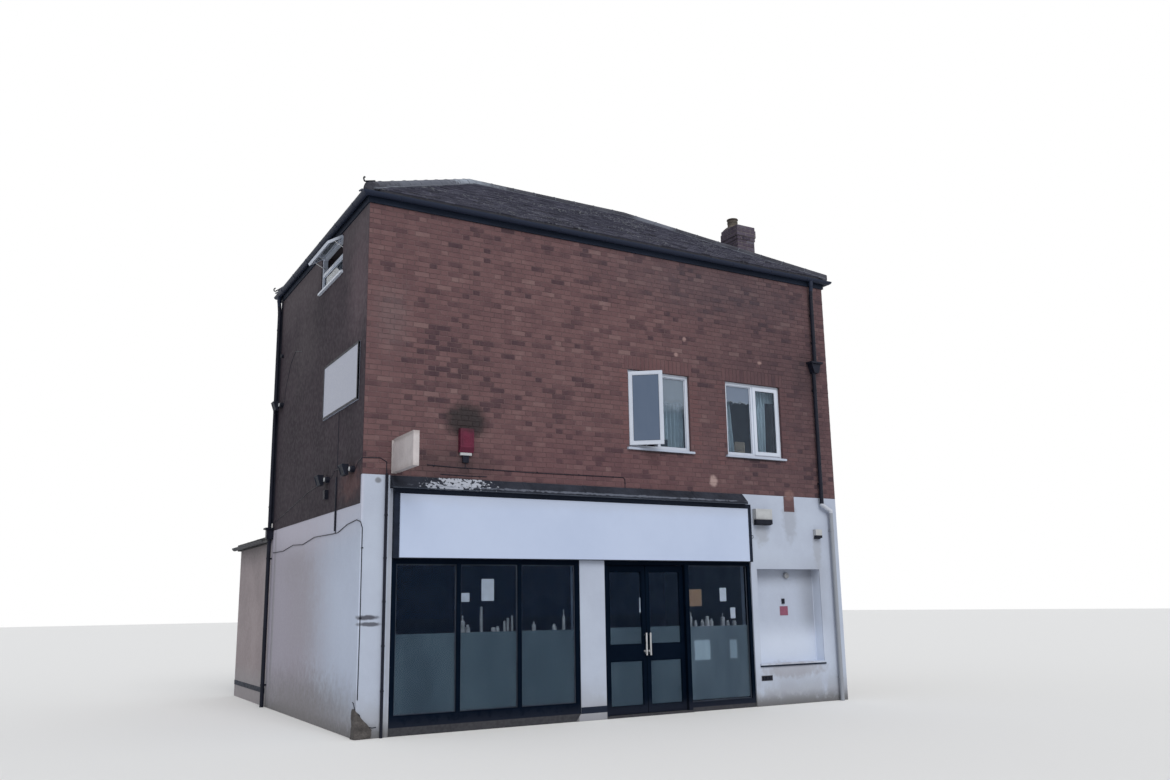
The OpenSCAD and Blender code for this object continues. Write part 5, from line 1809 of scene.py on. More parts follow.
@dataclass
class GroundStorey:
    """Marks, patches and small fixtures of the white ground storey."""

    recess: float = 0.19
    air_bricks: int = 7
    face: float = -0.001

    def exposed_bricks(self) -> None:
        """Lays the few bare bricks that show through the white, high on the right."""
        BrickFace((7.285, 0, 0), X, 0.205, 3.125, 3.372, seed=31, proud=0.003,
                  least=0.03).laid().finish("bare_brick_patch", Looks.BRICK)
        bed = Piece.block((7.27, -0.0015, 3.115), (7.5, 0.001, 3.374), 0.001)
        bed.finish("bare_brick_bed", Looks.MORTAR)

    def broken_corner(self) -> None:
        """Lays the broken core bare at the foot of the open corner, with the crack above it."""
        lump = Piece.block((-0.022, -0.022, 0.0), (0.2, 0.13, 0.44))
        lump.slice((0.27, -0.02, 0.04), (-0.62, 0.0, -0.55))
        lump.slice((-0.02, 0.13, 0.3), (0.0, -0.45, -0.35))
        lump.edit(Pick.EDGE, bpy.ops.mesh.subdivide, True, number_cuts=9)
        lump.ripple(71, 0.014, 0.12).slice(Z * 0.0005, Z).smooth(30)
        lump.finish("broken_corner_foot", Looks.RUBBLE)
        side = [(self.face, y, z) for y, z in ((0.13, 0.45), (0.08, 0.43), (0.03, 0.36))]
        front = [(x, self.face, z) for x, z in (
            (0.012, 0.33), (0.05, 0.3), (0.07, 0.23), (0.13, 0.19), (0.16, 0.14), (0.22, 0.13),
            (0.27, 0.137))]
        crack = tube(side + front, 0.006, 8).ripple(72, 0.006, 0.05, (0.3, 0.3, 1.0))
        crack.finish("corner_crack", Looks.BLACK, slot="black_plastic")

    def bands(self) -> None:
        """Lays the flat coats and bands of the corner and the pilaster's foot, and a dark strip
        under the recess sill as painted shadow.
        """
        coat = Piece.block((-0.003, 4.915, 0.0), (0.001, 5.2, 2.99), 0.001)
        coat.finish("side_white_coat", Looks.WHITE)
        band = Piece.block((3.288, -0.0025, 0.1), (3.717, 0.001, 0.19), 0.001)
        band.finish("pilaster_band", Looks.BOARD)
        block = Piece.block((3.2, -0.006, 0.0), (3.717, 0.001, 0.1))
        block.slice((3.2, 0, 0.0), (0.8, 0.0, -0.6)).bevel(0.003, 1)
        block.finish("pilaster_base", Looks.WHITE)
        # Painted shadow: a dark strip under the recess sill stands for the shade beneath it.
        edge = Piece.block((6.6, -0.019, 0.604), (8.0, 0.001, 0.6305), 0.002)
        edge.finish("recess_sill_painted_shadow", Looks.BOARD)

    def fixtures(self) -> None:
        """Fixes the notice, the air brick, the small lamp and the hook of the right wall."""
        y = self.recess
        notice = Piece.block((7.225, y - 0.004, 1.405), (7.4, y, 1.555), 0.002)
        notice.finish("red_notice", Looks.RED_CARD)
        keypad = Piece.block((7.27, y - 0.02, 1.595), (7.33, y, 1.68), 0.006, 2)
        keypad.join(Piece.block((7.292, y - 0.022, 1.62), (7.308, y - 0.018, 1.655), 0.002))
        keypad.finish("black_switch", Looks.PLASTIC)
        lamp = Piece.rod((7.38, y, 2.06), (7.38, y - 0.05, 2.06), 0.05, 24).bevel(0.012, 3)
        lamp.smooth().finish("recess_lamp", Looks.GREY_PIPE)
        brick = frame_of((6.61, -0.006, 0.39), (6.835, 0.002, 0.47), 0.012)
        brick.join(*[Piece.block((6.63 + 0.03 * i, -0.004, 0.4), (6.638 + 0.03 * i, 0.001, 0.46),
                                 0.001) for i in range(self.air_bricks)])
        brick.finish("air_brick", Looks.DULL, slot="terracotta")
        # Painted shade: a dark sheet behind the slots stands for the dark hollow of the air brick.
        back = Piece.block((6.622, -0.002, 0.402), (6.823, -0.0005, 0.458), 0.0005)
        back.finish("air_brick_painted_shade", Looks.BLACK, slot="black_board")
        path = rounded([(6.535, 0.002, 2.7), (6.535, -0.05, 2.7), (6.535, -0.05, 2.66),
                        (6.535, -0.03, 2.65)], 0.02)
        tube(path, 0.005, 8).finish("wall_hook", Looks.PLASTIC)

    def build(self) -> None:
        """Builds all marks and fixtures."""
        self.exposed_bricks()
        self.broken_corner()
        self.bands()
        self.fixtures()


@dataclass
class Shopfront:
    """Beads, frosted film, bare cards and the display ledge of the shop windows."""

    bays: tuple[tuple[float, float], ...] = ((0.502, 1.3673), (1.4273, 2.2927), (2.3527, 3.218))
    low: float = 0.255
    high: float = 2.198
    glass: float = 0.043
    glass_t: float = 0.008
    film_top: float = 1.28
    side: Edges = (5.267, 6.44, 0.139, 2.21)
    side_glass: float = 0.071
    side_film: tuple[float, float] = (0.03, 1.27)
    bead: float = 0.014
    bead_d: float = 0.011
    shelf: float = 1.262
    things: tuple[tuple[float, ...], ...] = (
        (1.52, 0.17, 0.24, 0.034, 0.3), (1.6, 0.18, 0.12, 0.036, 0.6),
        (1.8, 0.17, 0.36, 0.022, 0.85), (1.98, 0.15, 0.075, 0.035, 0.9),
        (2.05, 0.17, 0.09, 0.026, 0.7), (2.15, 0.16, 0.16, 0.018, 0.9),
        (2.21, 0.17, 0.2, 0.019, 0.9), (2.27, 0.16, 0.23, 0.017, 0.9),
        (2.62, 0.17, 0.14, 0.03, 0.4), (2.95, 0.17, 0.1, 0.034, 0.6),
        (3.1, 0.16, 0.3, 0.024, 0.35), (5.4, 0.2, 0.22, 0.026, 0.5), (5.48, 0.19, 0.1, 0.03, 0.8),
        (5.63, 0.21, 0.11, 0.032, 0.55), (5.72, 0.2, 0.16, 0.036, 0.75),
        (5.81, 0.21, 0.12, 0.032, 0.55), (6.03, 0.2, 0.2, 0.036, 0.2),
        (6.12, 0.19, 0.09, 0.03, 0.7), (6.26, 0.2, 0.08, 0.036, 0.8))

    def beads(self) -> None:
        """Puts a glazing bead round each pane, outside and inside, in the lighter grey of painted
        highlight.
        """
        panes = [(a, b, self.low, self.high, self.glass) for a, b in self.bays]
        beads = [frame_of((left, y, low), (right, y + self.bead_d, high), self.bead, 0.003)
                 for left, right, low, high, face in [*panes, (*self.side, self.side_glass)]
                 for y in (face - self.bead_d, face + self.glass_t)]
        joined(beads).finish("shop_glazing_beads", Looks.EDGE)

    def film(self) -> None:
        """Sticks the frosted film on the inside of the lower panes."""
        films = [self.sheet((left + 0.004, right - 0.004, self.low + 0.003, self.film_top),
                            self.glass + self.glass_t) for left, right in self.bays]
        joined(films).finish("frosted_film", Looks.FROST)
        left, right, low, _ = self.side
        lift, top = self.side_film
        side = self.sheet((left + 0.004, right - 0.004, low + lift, top),
                          self.side_glass + self.glass_t)
        side.finish("side_light_film", Looks.SIDE_FROST)

    @staticmethod
    def sheet(edges: Edges, y: float, thick: float = 0.0006) -> Piece:
        """Makes a thin card or film standing behind the glass.

        Args:
            edges: Its left, right, lower and upper edge.
            y: The face of the glass that it is stuck to.
            thick: Its thickness.

        Returns:
            The sheet.
        """
        left, right, low, high = edges
        sheet = Piece.block((left, y + 0.0003, low), (right, y + 0.0003 + thick, high))
        sheet.pick_edges(lambda c, d: abs(d.y) > 0.9)
        return sheet.bevel_edges(min(0.006, (right - left) / 5), 2)

    def cards(self) -> None:
        """Hangs the plain cards that the panes show."""
        y, side = self.glass + self.glass_t, self.side_glass + self.glass_t
        white = [self.sheet(edges, face) for edges, face in (
            ((1.75, 1.94, 1.7, 2.0), y), ((1.45, 1.57, 1.69, 1.81), y),
            ((5.9, 6.03, 1.65, 1.86), side), ((6.1, 6.2, 1.38, 1.55), side))]
        joined(white).finish("window_cards", Looks.PAPER)
        self.sheet((5.3, 5.54, 1.58, 1.84), side).finish("tan_card", Looks.TAN)

    def bottle(self, x: float, y: float, height: float, radius: float, neck: float) -> Piece:
        """Turns a plain bottle, jar or candle on the ledge.

        Args:
            x: Place along the front.
            y: Place towards the rear.
            height: Its height.
            radius: Its radius.
            neck: Share of the radius left at its neck.

        Returns:
            The bottle.
        """
        body = Piece.rod((x, y, self.shelf), (x, y, self.shelf + height * 0.66), radius)
        body.pick_faces(lambda c, n: n.z > 0.9).inset(radius * (1 - neck), height * 0.09)
        body.extrude((0, 0, height * 0.1)).inset(-radius * 0.1)
        return body.extrude((0, 0, height * 0.15)).bevel(radius * 0.06).smooth()

    def ledge(self) -> None:
        """Sets a ledge on brackets behind the film, with a few plain bottles and jars."""
        boards = []
        for left, right, y in ((1.43, 3.2, 0.095), (5.28, 6.42, 0.13)):
            boards.append(Piece.block((left, y, 1.235), (right, y + 0.2, self.shelf), 0.004, 2))
            boards += [Piece.block((x - 0.012, y - 0.02, 1.19), (x + 0.012, y + 0.16, 1.235),
                                   0.003) for x in (left + 0.12, (left + right) / 2,
                                                    right - 0.12)]
        joined(boards).finish("display_ledge", Looks.PAPER)
        joined([self.bottle(*thing) for thing in self.things]).finish("pale_jars", Looks.JAR)

    def build(self) -> None:
        """Builds the trims of the shop windows."""
        self.beads()
        self.film()
        self.cards()
        self.ledge()


@dataclass
class EntranceDoors:
    """Beads, frosted film, label and lock of the two door leaves."""

    glass: tuple[tuple[float, float], ...] = ((3.843, 4.4175), (4.5525, 5.127))
    low: float = 0.146
    rail_low: float = 0.8
    rail_high: float = 1.03
    high: float = 2.114
    face: float = 0.099
    glass_t: float = 0.008
    leaf_front: float = 0.081
    band_top: float = 1.286
    bead: float = 0.012
    bead_d: float = 0.01
    lock_z: float = 0.93
    lock_r: float = 0.017
    label: Edges = (4.385, 4.412, 1.5, 1.72)

    def leaf(self, body: Body, left: float, right: float, lock_x: float) -> None:
        """Dresses one leaf.

        Args:
            body: The leaf.
            left: Left edge of its glass.
            right: Right edge of its glass.
            lock_x: Middle of its lock.
        """
        name, back, front = body.value, self.face + self.glass_t, self.leaf_front
        beads = [frame_of((left, y, low), (right, y + self.bead_d, high), self.bead, 0.003)
                 for low, high in ((self.low, self.rail_low), (self.rail_high, self.high))
                 for y in (self.face - self.bead_d, back)]
        joined(beads).finish(f"{name}_beads", Looks.BLACK, body)
        films = [Shopfront.sheet((left + 0.003, right - 0.003, low, high), back)
                 for low, high in ((self.low + 0.003, self.rail_low - 0.003),
                                   (self.rail_high + 0.003, self.band_top))]
        joined(films).finish(f"{name}_film", Looks.FROST, body)
        lock = Piece.rod((lock_x, front + 0.001, self.lock_z),
                         (lock_x, front - 0.008, self.lock_z), self.lock_r, 24).bevel(0.002)
        slot = Piece.block((lock_x - 0.0015, front - 0.009, self.lock_z - 0.008),
                           (lock_x + 0.0015, front - 0.0075, self.lock_z + 0.008), 0.0004)
        lock.join(slot).smooth().finish(f"{name}_lock", Looks.STEEL, body)

    def build(self) -> None:
        """Dresses both leaves."""
        one, two = self.glass
        self.leaf(Body.LEFT_DOOR, *one, one[1] + 0.03)
        self.leaf(Body.RIGHT_DOOR, *two, two[0] - 0.03)
        label = Shopfront.sheet(self.label, self.face + self.glass_t + 0.0002)
        label.finish("door_label", Looks.PAPER, Body.LEFT_DOOR)


@dataclass
class Fascia:
    """Edge trim and screw caps of the bare sign board, and the laps of its flashing."""

    board: Edges = (0.508, 6.422, 2.278, 3.128)
    face: float = -0.08
    trim: float = 0.016
    caps: int = 9
    flashing: Edges = (0.385, 6.39, 3.2, 3.375)
    flashing_d: float = 0.14
    edge: float = 0.032
    lap_w: float = 0.03
    lap_count: int = 5

    def sign(self) -> None:
        """Trims the sign board and caps its screws."""
        left, right, low, high = self.board
        trim = frame_of((left, self.face - 0.002, low), (right, self.face + 0.001, high),
                        self.trim, 0.0007)
        trim.finish("sign_trim", Looks.SIGN)
        cap = Piece.rod((0, 0, 0), (0, -0.003, 0), 0.008, 12).bevel(0.0012, 1)
        caps = [cap.copy((x, self.face, z))
                for x in np.linspace(left + 0.05, right - 0.05, self.caps)
                for z in (low + 0.045, high - 0.045)]
        cap.remove()
        joined(caps).smooth().finish("sign_caps", Looks.SIGN)

    def laps(self) -> None:
        """Laps the flashing over the box and turns its edge down."""
        left, right, low, high = self.flashing
        rise, out = high - low - self.edge, -self.flashing_d
        angle = math.atan2(rise, self.flashing_d)
        laps = []
        for x in np.linspace(left, right, self.lap_count + 2)[1:-1]:
            lap = Piece.block((-self.lap_w, 0, -0.002), (self.lap_w, rise / math.sin(angle), 0.004))
            lap.pick_edges(lambda c, d: abs(d.y) > 0.9 and c.z > 0).bevel_edges(0.002)
            laps.append(lap.move((x, out, low + self.edge), Matrix.Rotation(angle, 3, "X")))
            laps.append(Piece.block((x - self.lap_w, out - 0.003, low + 0.002),
                                    (x + self.lap_w, out + 0.001, low + self.edge + 0.003),
                                    0.001))
        joined(laps).finish("flashing_laps", Looks.FLASHING)
        # The drip takes the lighter grey of the beads: painted highlight along the flashing's lower
        # edge.
        drip = Piece.block((left, out - 0.004, low - 0.006), (right, out + 0.006, low + 0.008),
                           0.002)
        drip.finish("flashing_drip", Looks.EDGE, slot="flashing_grey")

    def build(self) -> None:
        """Builds the trims."""
        self.sign()
        self.laps()
        beads = [Piece.block((left, -0.066, low), (right, -0.06, high), 0.002)
                 for left, right, low, high in ((0.43, 6.5, 3.132, 3.145),
                                                (0.43, 0.445, 2.27, 3.2), (6.485, 6.5, 2.27, 3.2))]
        joined(beads).finish("fascia_beads", Looks.BOARD)
        patch = Piece.block((6.39, -0.0025, 3.2), (6.502, 0.001, 3.375), 0.001)
        patch.finish("fascia_end_patch", Looks.WHITE)


@dataclass
class Sash:
    """Beads and gaskets of one glazed sash or fixed light, made in its own frame.

    In that frame the sash stands on z = 0, its outer face is y = 0 and x runs to its right.
    """

    width: float
    height: float
    rail: float = 0.048
    pane_y: float = 0.008
    pane_t: float = 0.024
    bead: float = 0.014
    bead_d: float = 0.006

    def beads(self) -> list[Piece]:
        """Makes the white beads in front of and behind the pane."""
        low, right, top = self.rail, self.width - self.rail, self.height - self.rail
        return [frame_of((low, y, low), (right, y + self.bead_d, top), self.bead, 0.002)
                for y in (self.pane_y - self.bead_d, self.pane_y + self.pane_t)]

    def gasket(self) -> Piece:
        """Makes the thin black gasket between the pane and its outer beads."""
        edge = self.rail + self.bead - 0.001
        return frame_of((edge, self.pane_y - 0.003, edge),
                        (self.width - edge, self.pane_y - 0.0002, self.height - edge), 0.004)


@dataclass
class Curtain:
    """A pleated curtain on its rail: its edges there, its drop and its pleats."""

    name: str
    left: float
    right: float
    low: float
    pleats: int
    deep: float
    seed: int
    sweep: float = 0.0
    high: float = 5.22
    y: float = 0.19
    rows: int = 20
    columns_each: int = 14
    cloth_t: float = 0.0009

    def hang(self) -> None:
        """Folds the cloth and hangs it."""
        columns = self.pleats * self.columns_each
        cloth = Piece.grid(columns, self.rows)
        u, v, _ = (cloth.points() + 0.5).T
        rng = np.random.default_rng(self.seed)
        phase = 2 * math.pi * self.pleats * (u + 0.012 * np.sin(9 * u + rng.uniform(0, 6)))
        drift = 0.35 * np.sin(3 * (1 - v) + 7 * u + rng.uniform(0, 6)) * (1 - v)
        deep = self.deep / 2 * (0.65 + 0.35 * (1 - v))
        deep = deep * (1 + 0.25 * np.sin(5 * u + rng.uniform(0, 6)))
        drop = self.high - self.low
        out = np.stack((self.left + (self.right - self.left) * u - self.sweep * u * (1 - v) ** 1.5,
                        self.y + deep * np.sin(phase + drift), self.low + drop * v), 1)
        cloth.place(out)
        top = out[np.argsort(out[:, 2])[-(columns + 1):]]
        top = top[np.argsort(top[:, 0])]
        cloth.modifier("SOLIDIFY", thickness=self.cloth_t, offset=0.0)
        cloth.smooth(60).finish(self.name, Looks.CLOTH)


@dataclass
class UpperWindows:
    """Trims, stays, handles and curtains of the windows."""

    lefts: tuple[float, float] = (4.212, 6.135)
    sill: float = 4.01
    width: float = 1.18
    height: float = 1.25
    frame: float = 0.052
    setback: float = 0.045
    frame_d: float = 0.07
    light_w: float = 0.512
    light_h: float = 1.146
    lap: float = 0.012
    proud: float = 0.014
    sash_d: float = 0.04
    depth: float = 5.2
    casement_angle: float = -37.0
    fan_angle: float = 58.0
    side_light: Edges = (1.2, 0.304, 0.052, 0.023)
    fan: tuple[float, float] = (1.12, 0.268)
    fan_hinge: Point = (0.012, 1.31, 7.15)
    rail_y: float = 0.19
    rail_z: float = 5.225

    def __post_init__(self) -> None:
        """Sets the turns of the open sashes and the hinge of the open casement."""
        self.open = Matrix.Rotation(math.radians(self.casement_angle), 3, "Z")
        self.fan_open = Matrix.Rotation(math.radians(self.fan_angle), 3, "Y")
        self.foot = self.sill + self.frame - self.lap
        self.hinge = Vector((self.lefts[0] + self.frame - self.lap, self.setback, self.foot))

    def places(self) -> list[tuple[Sash, Vector, Matrix | None]]:
        """Lists every glazed light.

        Returns:
            Each light's size, place and turn; the two front sashes stand third and fourth.
        """
        light = Sash(self.light_w + 2 * self.frame, self.light_h + 2 * self.frame,
                     self.frame, (self.frame_d - 0.024) / 2)
        sash = Sash(self.light_w + 2 * self.lap, self.light_h + 2 * self.lap)
        (one, two), step = self.lefts, self.frame + self.light_w
        found = [(light, Vector((one + step, self.setback, self.sill)), None),
                 (light, Vector((two, self.setback, self.sill)), None),
                 (sash, Vector((two + self.frame + step - self.lap, self.setback - self.proud,
                                self.foot)), None),
                 (sash, self.hinge + self.open @ Vector((0, -self.sash_d, 0)), self.open)]
        found += [(light, Vector((left + i * step + step + self.frame, self.depth - self.setback,
                                  self.sill)), Matrix.Rotation(math.pi, 3, "Z"))
                  for left in self.lefts for i in (0, 1)]
        mirror = Matrix(((0, 1, 0), (1, 0, 0), (0, 0, 1)))
        found.append((Sash(*self.side_light), Vector((0.012, 1.27, 6.59)), mirror))
        turn = self.fan_open @ Matrix.Rotation(math.pi / 2, 3, "Z")
        found.append((Sash(*self.fan), Vector(self.fan_hinge) - turn @ Z * self.fan[1], turn))
        return found

    def trims(self) -> None:
        """Puts beads and gaskets on every light."""
        beads, gaskets = [], []
        for sash, place, turn in self.places():
            beads += [bead.move(place, turn) for bead in sash.beads()]
            gaskets.append(sash.gasket().move(place, turn))
        joined(beads).finish("window_beads", Looks.FRAME)
        joined(gaskets).finish("window_gaskets", Looks.PLASTIC)

    def stays(self) -> None:
        """Links the open sashes to their frames with steel stays."""
        stays = []
        near = Vector((self.hinge.x, self.setback, 0))
        for z in (self.sill + self.frame - 0.004, self.sill + self.height - self.frame + 0.004):
            grip = near + self.open @ Vector((0.3, -self.sash_d / 2, z))
            stays.append(self.bar(Vector((near.x + 0.3, self.setback + 0.02, z)), grip))
        x, _, z = self.fan_hinge
        for y in (1.326, 2.414):
            grip = Vector((x, y, z)) + self.fan_open @ Vector((-0.02, 0, -0.17))
            stays.append(self.bar(Vector((0.03, y, 6.98)), grip))
        joined(stays).finish("window_stays", Looks.STEEL)

    @staticmethod
    def bar(start: Vector, end: Vector) -> Piece:
        """Makes a flat steel bar with rounded ends between two points.

        Args:
            start: One end.
            end: The other end.

        Returns:
            The bar.
        """
        way = end - start
        bar = Piece.block((-0.008, -0.008, 0), (way.length + 0.008, 0.008, 0.003))
        bar.pick_edges(lambda c, d: abs(d.z) > 0.9).bevel_edges(0.0075, 3)
        side = Z.cross(way).normalized()
        return bar.move(start, Matrix((way.normalized(), side,
                                       way.cross(side).normalized())).transposed())

    def handles(self) -> None:
        """Fits the inside handles of the sashes."""
        handles = []
        for sash, place, turn in self.places()[2:4]:
            x, y = sash.width - sash.rail / 2, self.sash_d
            plate = Piece.block((x - 0.014, y, 0.5), (x + 0.014, y + 0.01, 0.62), 0.004, 2)
            lever = tube(rounded([(x, y + 0.005, 0.56), (x, y + 0.035, 0.56),
                                  (x, y + 0.035, 0.47)], 0.015), 0.008)
            handles.append(plate.join(lever).move(place, turn))
        joined(handles).smooth().finish("window_handles", Looks.FRAME)

    def curtains(self) -> None:
        """Hangs the curtains, each on its rail."""
        rails = []
        for left in self.lefts:
            ends = [Vector((x, self.rail_y, self.rail_z)) for x in (left, left + self.width)]
            rails.append(Piece.rod(ends[0] + X * 0.001, ends[1] - X * 0.001, 0.009))
            rails += [Piece.rod(end, end + X * side, 0.02, 20).bevel(0.003, 1)
                      for end, side in zip(ends, (0.012, -0.012))]
        joined(rails).smooth().finish("curtain_rails", Looks.FRAME)
        one, two = self.lefts
        for curtain in (
                Curtain("left_window_curtain", one + 0.6, one + 1.16, 4.03, 7, 0.06, 91),
                Curtain("right_window_curtain", two + 0.7, two + 0.98, 4.03, 4, 0.06, 92, 0.04),
                Curtain("drawn_back_curtain", two + 0.05, two + 0.2, 4.03, 3, 0.07, 93, -0.07),
                Curtain("short_curtain", two + 0.95, two + 1.165, 5.0, 4, 0.05, 94)):
            curtain.hang()

    def things(self) -> None:
        """Stands the small card box and the dark case on the inner sills."""
        x = self.lefts[1] + 0.27
        box = Piece.block((x, 0.15, 4.0105), (x + 0.2, 0.25, 4.27), 0.002)
        box.join(Piece.block((x - 0.002, 0.145, 4.18), (x + 0.202, 0.149, 4.272), 0.0015),
                 Piece.block((x + 0.085, 0.1485, 4.02), (x + 0.115, 0.1502, 4.18), 0.0006))
        box.finish("sill_card_box", Looks.BOX)
        x = self.lefts[0] + 0.64
        case = Piece.block((x, 0.125, 4.0105), (x + 0.17, 0.16, 4.2), 0.012, 3)
        case.pick_faces(lambda c, n: n.y < -0.9).inset(0.012, -0.003)
        case.smooth().finish("sill_dark_case", Looks.PLASTIC)

    def build(self) -> None:
        """Builds all that belongs to the windows."""
        self.trims()
        self.stays()
        self.handles()
        self.curtains()
        self.things()


@dataclass
class Fittings:
    """Trims of the signs, boxes and lamps on the walls."""

    blade: Edges = (0.395, 0.471, 3.4, 3.85)
    blade_y: tuple[float, float] = (-0.85, -0.09)
    blade_rim: float = 0.024
    joints: int = 12
    bell: Point = (1.36, 1.575, 3.745)
    slats: int = 5
    side_sign: Edges = (0.24, 2.0, 4.43, 5.26)
    side_sign_t: float = 0.03
    heads: tuple[tuple[float, float], ...] = ((0.5, 3.48), (1.75, 3.48), (4.93, 5.19))
    head_x: float = -0.135

    def projecting_sign(self) -> None:
        """Trims both faces of the projecting sign with a rim and upright joints."""
        near, far = self.blade_y
        left, right, low, high = self.blade
        rim = self.blade_rim
        parts = []
        for x, side in ((left, -1), (right, 1)):
            a, b = sorted((x, x + side * 0.004))
            parts.append(frame_of((a, near, low), (b, far, high), rim, 0.0015, 0))
            a, b = sorted((x, x + side * 0.0015))
            parts += [Piece.block((a, y - 0.005, low + rim), (b, y + 0.005, high - rim), 0.0005)
                      for y in np.linspace(near, far, self.joints + 1)[1:-1]]
        parts.append(Piece.block((left - 0.006, near, high - 0.001),
                                 (right + 0.006, far + 0.004, high + 0.006), 0.002))
        joined(parts).finish("projecting_sign_rims", Looks.CREAM)

    def bell_trims(self) -> None:
        """Adds the pale foot, the black bracket and the raised rim of the red box."""
        left, right, low = self.bell
        foot = Piece.block((left + 0.02, -0.04, low - 0.04), (right - 0.02, 0.0, low + 0.002),
                           0.006, 2)
        foot.finish("bell_foot", Looks.WHITE_PLASTIC)
        bracket = Piece.block((left + 0.06, -0.03, low - 0.14), (right - 0.06, 0.0, low - 0.038),
                              0.005, 2)
        bracket.pick_faces(lambda c, n: n.y < -0.9).inset(0.012, -0.006)
        bracket.finish("bell_bracket", Looks.PLASTIC)
        near, far = -0.088, -0.0845
        rim = frame_of((left + 0.03, near, low + 0.1), (right - 0.03, far, low + 0.31), 0.01,
                       0.0015)
        rim.join(*[Piece.block((left + 0.06, near, low + 0.135 + 0.02 * i),
                               (right - 0.06, far, low + 0.143 + 0.02 * i), 0.001)
                   for i in range(self.slats)])
        rim.finish("bell_rim", Looks.RED)

    def alarm_trims(self) -> None:
        """Adds the dark undersides, seams and lenses of the two pale boxes."""
        dark = [Piece.block(low, high, *bevel) for low, high, *bevel in (
            ((6.6, -0.088, 2.872), (6.91, -0.006, 2.891), 0.005, 2),
            ((6.583, -0.0975, 2.886), (6.927, -0.03, 2.962), 0.003),
            ((7.905, -0.045, 2.672), (8.015, -0.004, 2.691), 0.004, 2),
            ((7.888, -0.0725, 2.686), (8.032, -0.02, 2.73), 0.003),
            ((6.5845, -0.0955, 2.968), (6.9255, -0.03, 2.972)))]
        joined(dark).finish("alarm_undersides", Looks.PLASTIC)
        rim = frame_of((6.61, -0.098, 2.99), (6.9, -0.0945, 3.115), 0.008, 0.001)
        lens = Piece.rod((6.755, -0.094, 2.978), (6.755, -0.099, 2.978), 0.01, 20).bevel(0.002)
        rim.join(lens).smooth().finish("alarm_rims", Looks.WHITE_PLASTIC)

    def lamps(self) -> None:
        """Fits the lenses and rims of the side lamps and the white faces of their sensors."""
        lenses, rims, domes = [], [], []
        turn = Matrix.Rotation(-math.atan2(0.05, 0.15), 3, "Y")
        for y, z in self.heads:
            place = (self.head_x, y, z)
            lens = Piece.block((-0.003, -0.082, -0.06), (0.001, 0.082, 0.06), 0.002, 2)
            lenses.append(lens.move(place, turn))
            rim = frame_of((-0.008, -0.098, -0.074), (0.002, 0.098, 0.074), 0.016, 0.002, 0)
            rims.append(rim.move(place, turn))
            dome = Piece.rod((-0.073, y - 0.15, z), (-0.08, y - 0.15, z), 0.032, 24)
            dome.pick_faces(lambda c, n: n.x < -0.9).inset(0.012, 0.006)
            domes.append(dome.bevel(0.003))
        joined(lenses).finish("floodlight_lenses", Looks.LENS)
        joined(rims).finish("floodlight_rims", Looks.BOARD, slot="black_plastic")
        lid = Piece.block((-0.063, 1.606, 3.206), (-0.059, 1.704, 3.324), 0.0015)
        lid.pick_faces(lambda c, n: n.x < -0.9).inset(0.012, -0.001)
        lid.finish("switch_lid", Looks.DULL)
        joined(domes).smooth().finish("sensor_faces", Looks.WHITE_PLASTIC)
        knob = Piece.rod((0.0, 4.93, 6.12), (-0.05, 4.93, 6.12), 0.035, 24).bevel(0.01)
        knob.smooth().finish("side_knob", Looks.PLASTIC)

    def side_sign_rim(self) -> None:
        """Frames the bare side sign with a dark edge."""
        near, far, low, high = self.side_sign
        rim = frame_of((-self.side_sign_t - 0.004, near, low), (-0.006, far, high), 0.035,
                       0.002, 0)
        rim.finish("side_sign_rim", Looks.PLASTIC)

    def build(self) -> None:
        """Builds all trims."""
        self.projecting_sign()
        self.bell_trims()
        self.alarm_trims()
        self.lamps()
        self.side_sign_rim()


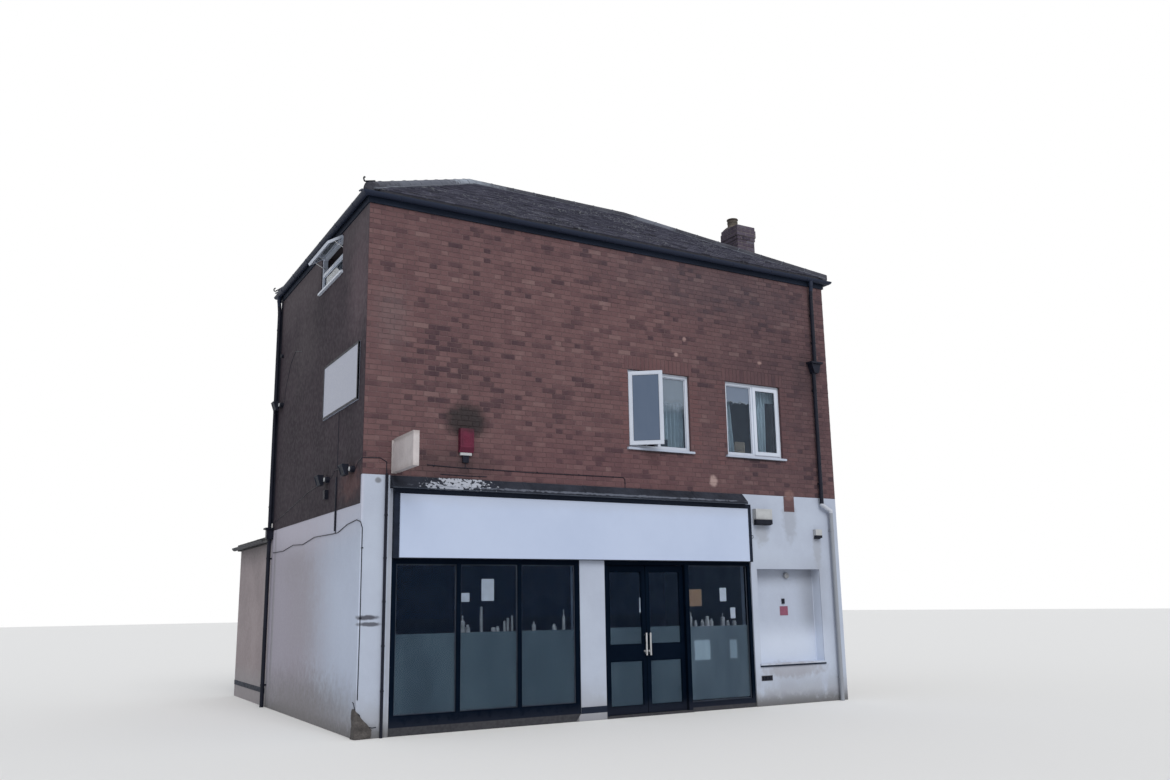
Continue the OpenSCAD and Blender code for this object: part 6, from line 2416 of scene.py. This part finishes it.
@dataclass
class Clips:
    """Small saddles that hold the cables to the walls."""

    radius: float = 0.006
    band: float = 0.0025
    width: float = 0.014
    level_z: float = 3.53
    level_x: tuple[float, ...] = (1.0, 1.9, 2.6, 3.3, 3.9)
    side: Point = (0, 1.173, 3.9)
    upright: tuple[Point, ...] = ((4.11, 0, 3.44), (0.021, 0, 2.4), (0.022, 0, 1.5))

    def clip(self) -> Piece:
        """Bends one clip over a cable that runs up a wall facing -y, the wall at y = 0.

        Returns:
            The clip.
        """
        out, half = self.radius * 2 + self.band, self.width / 2
        reach = self.radius + self.band + 0.001
        clip = Piece.block((-reach, -out, -half), (reach, 0, half))
        clip.pick_edges(lambda c, d: abs(d.z) > 0.9 and c.y < -out / 2)
        clip.bevel_edges(self.radius, 3)
        foot = Piece.block((reach - 0.002, -0.003, -half), (reach + 0.012, 0, half), 0.001)
        head = Piece.rod((reach + 0.006, -0.001, 0), (reach + 0.006, -0.006, 0), 0.004, 10)
        return clip.join(foot, head.bevel(0.0012, 1))

    def build(self) -> None:
        """Fixes the clips along the level and upright cables."""
        clip = self.clip()
        level = Matrix.Rotation(math.pi / 2, 3, "Y")
        clips = [clip.copy((x, 0, self.level_z), level) for x in self.level_x]
        clips.append(clip.copy(self.side, Matrix.Rotation(-math.pi / 2, 3, "Z")))
        clips += [clip.copy(place) for place in self.upright]
        clip.remove()
        joined(clips).finish("cable_clips", Looks.PLASTIC)
        capping = Piece.block((-0.027, 1.157, 2.7), (-0.001, 1.191, 3.47))
        capping.pick_edges(lambda c, d: abs(d.z) > 0.9 and c.x < -0.02).bevel_edges(0.012, 3)
        capping.finish("cable_capping", Looks.PLASTIC)
        # Painted shadow: a dark strip behind the side downpipe stands for its shadow on the wall.
        board = Piece.block((-0.031, 5.117, 3.12), (-0.001, 5.147, 7.19), 0.004, 2)
        board.pick_faces(lambda c, n: abs(n.y) > 0.9).inset(0.006, -0.002)
        board.finish("side_pipe_painted_shadow", Looks.PLASTIC)


@dataclass
class RearStore:
    """Roof felt laps, edge trim and the base line of the store."""

    start: float = 5.2
    end: float = 7.9
    width: float = 3.0
    top: float = 2.9
    out: float = 0.06
    strip: float = 0.9

    def build(self) -> None:
        """Builds the trims."""
        right, low = self.width + self.out, self.top - 0.002
        laps = [Piece.block((-self.out, y - 0.03, low), (right, y + 0.03, self.top + 0.004),
                            0.0025) for y in (self.start + self.strip,
                                              self.start + 2 * self.strip)]
        laps.append(Piece.block((0.02, self.start - 0.001, low),
                                (right, self.start + 0.012, self.top + 0.14), 0.003))
        joined(laps).finish("store_felt_laps", Looks.FELT)
        line = Piece.block((-0.006, self.start + 0.03, 0.215), (0.0015, self.end, 0.3), 0.002)
        line.finish("store_base_line", Looks.BOARD)


def main() -> None:
    """Builds the looks, piece by piece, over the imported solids."""
    logging.basicConfig(level=logging.INFO, format="%(name)s: %(message)s")
    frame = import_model()
    Site.find()
    Studio().build()
    Looks.dress(frame["nodes"])
    for maker in (Brickwork, TiledRoof, Chimney, Rainwater, SideRender, GroundStorey, Shopfront,
                  EntranceDoors, Fascia, UpperWindows, Fittings, Clips, RearStore):
        maker().build()


if __name__ == "__main__":
    main()
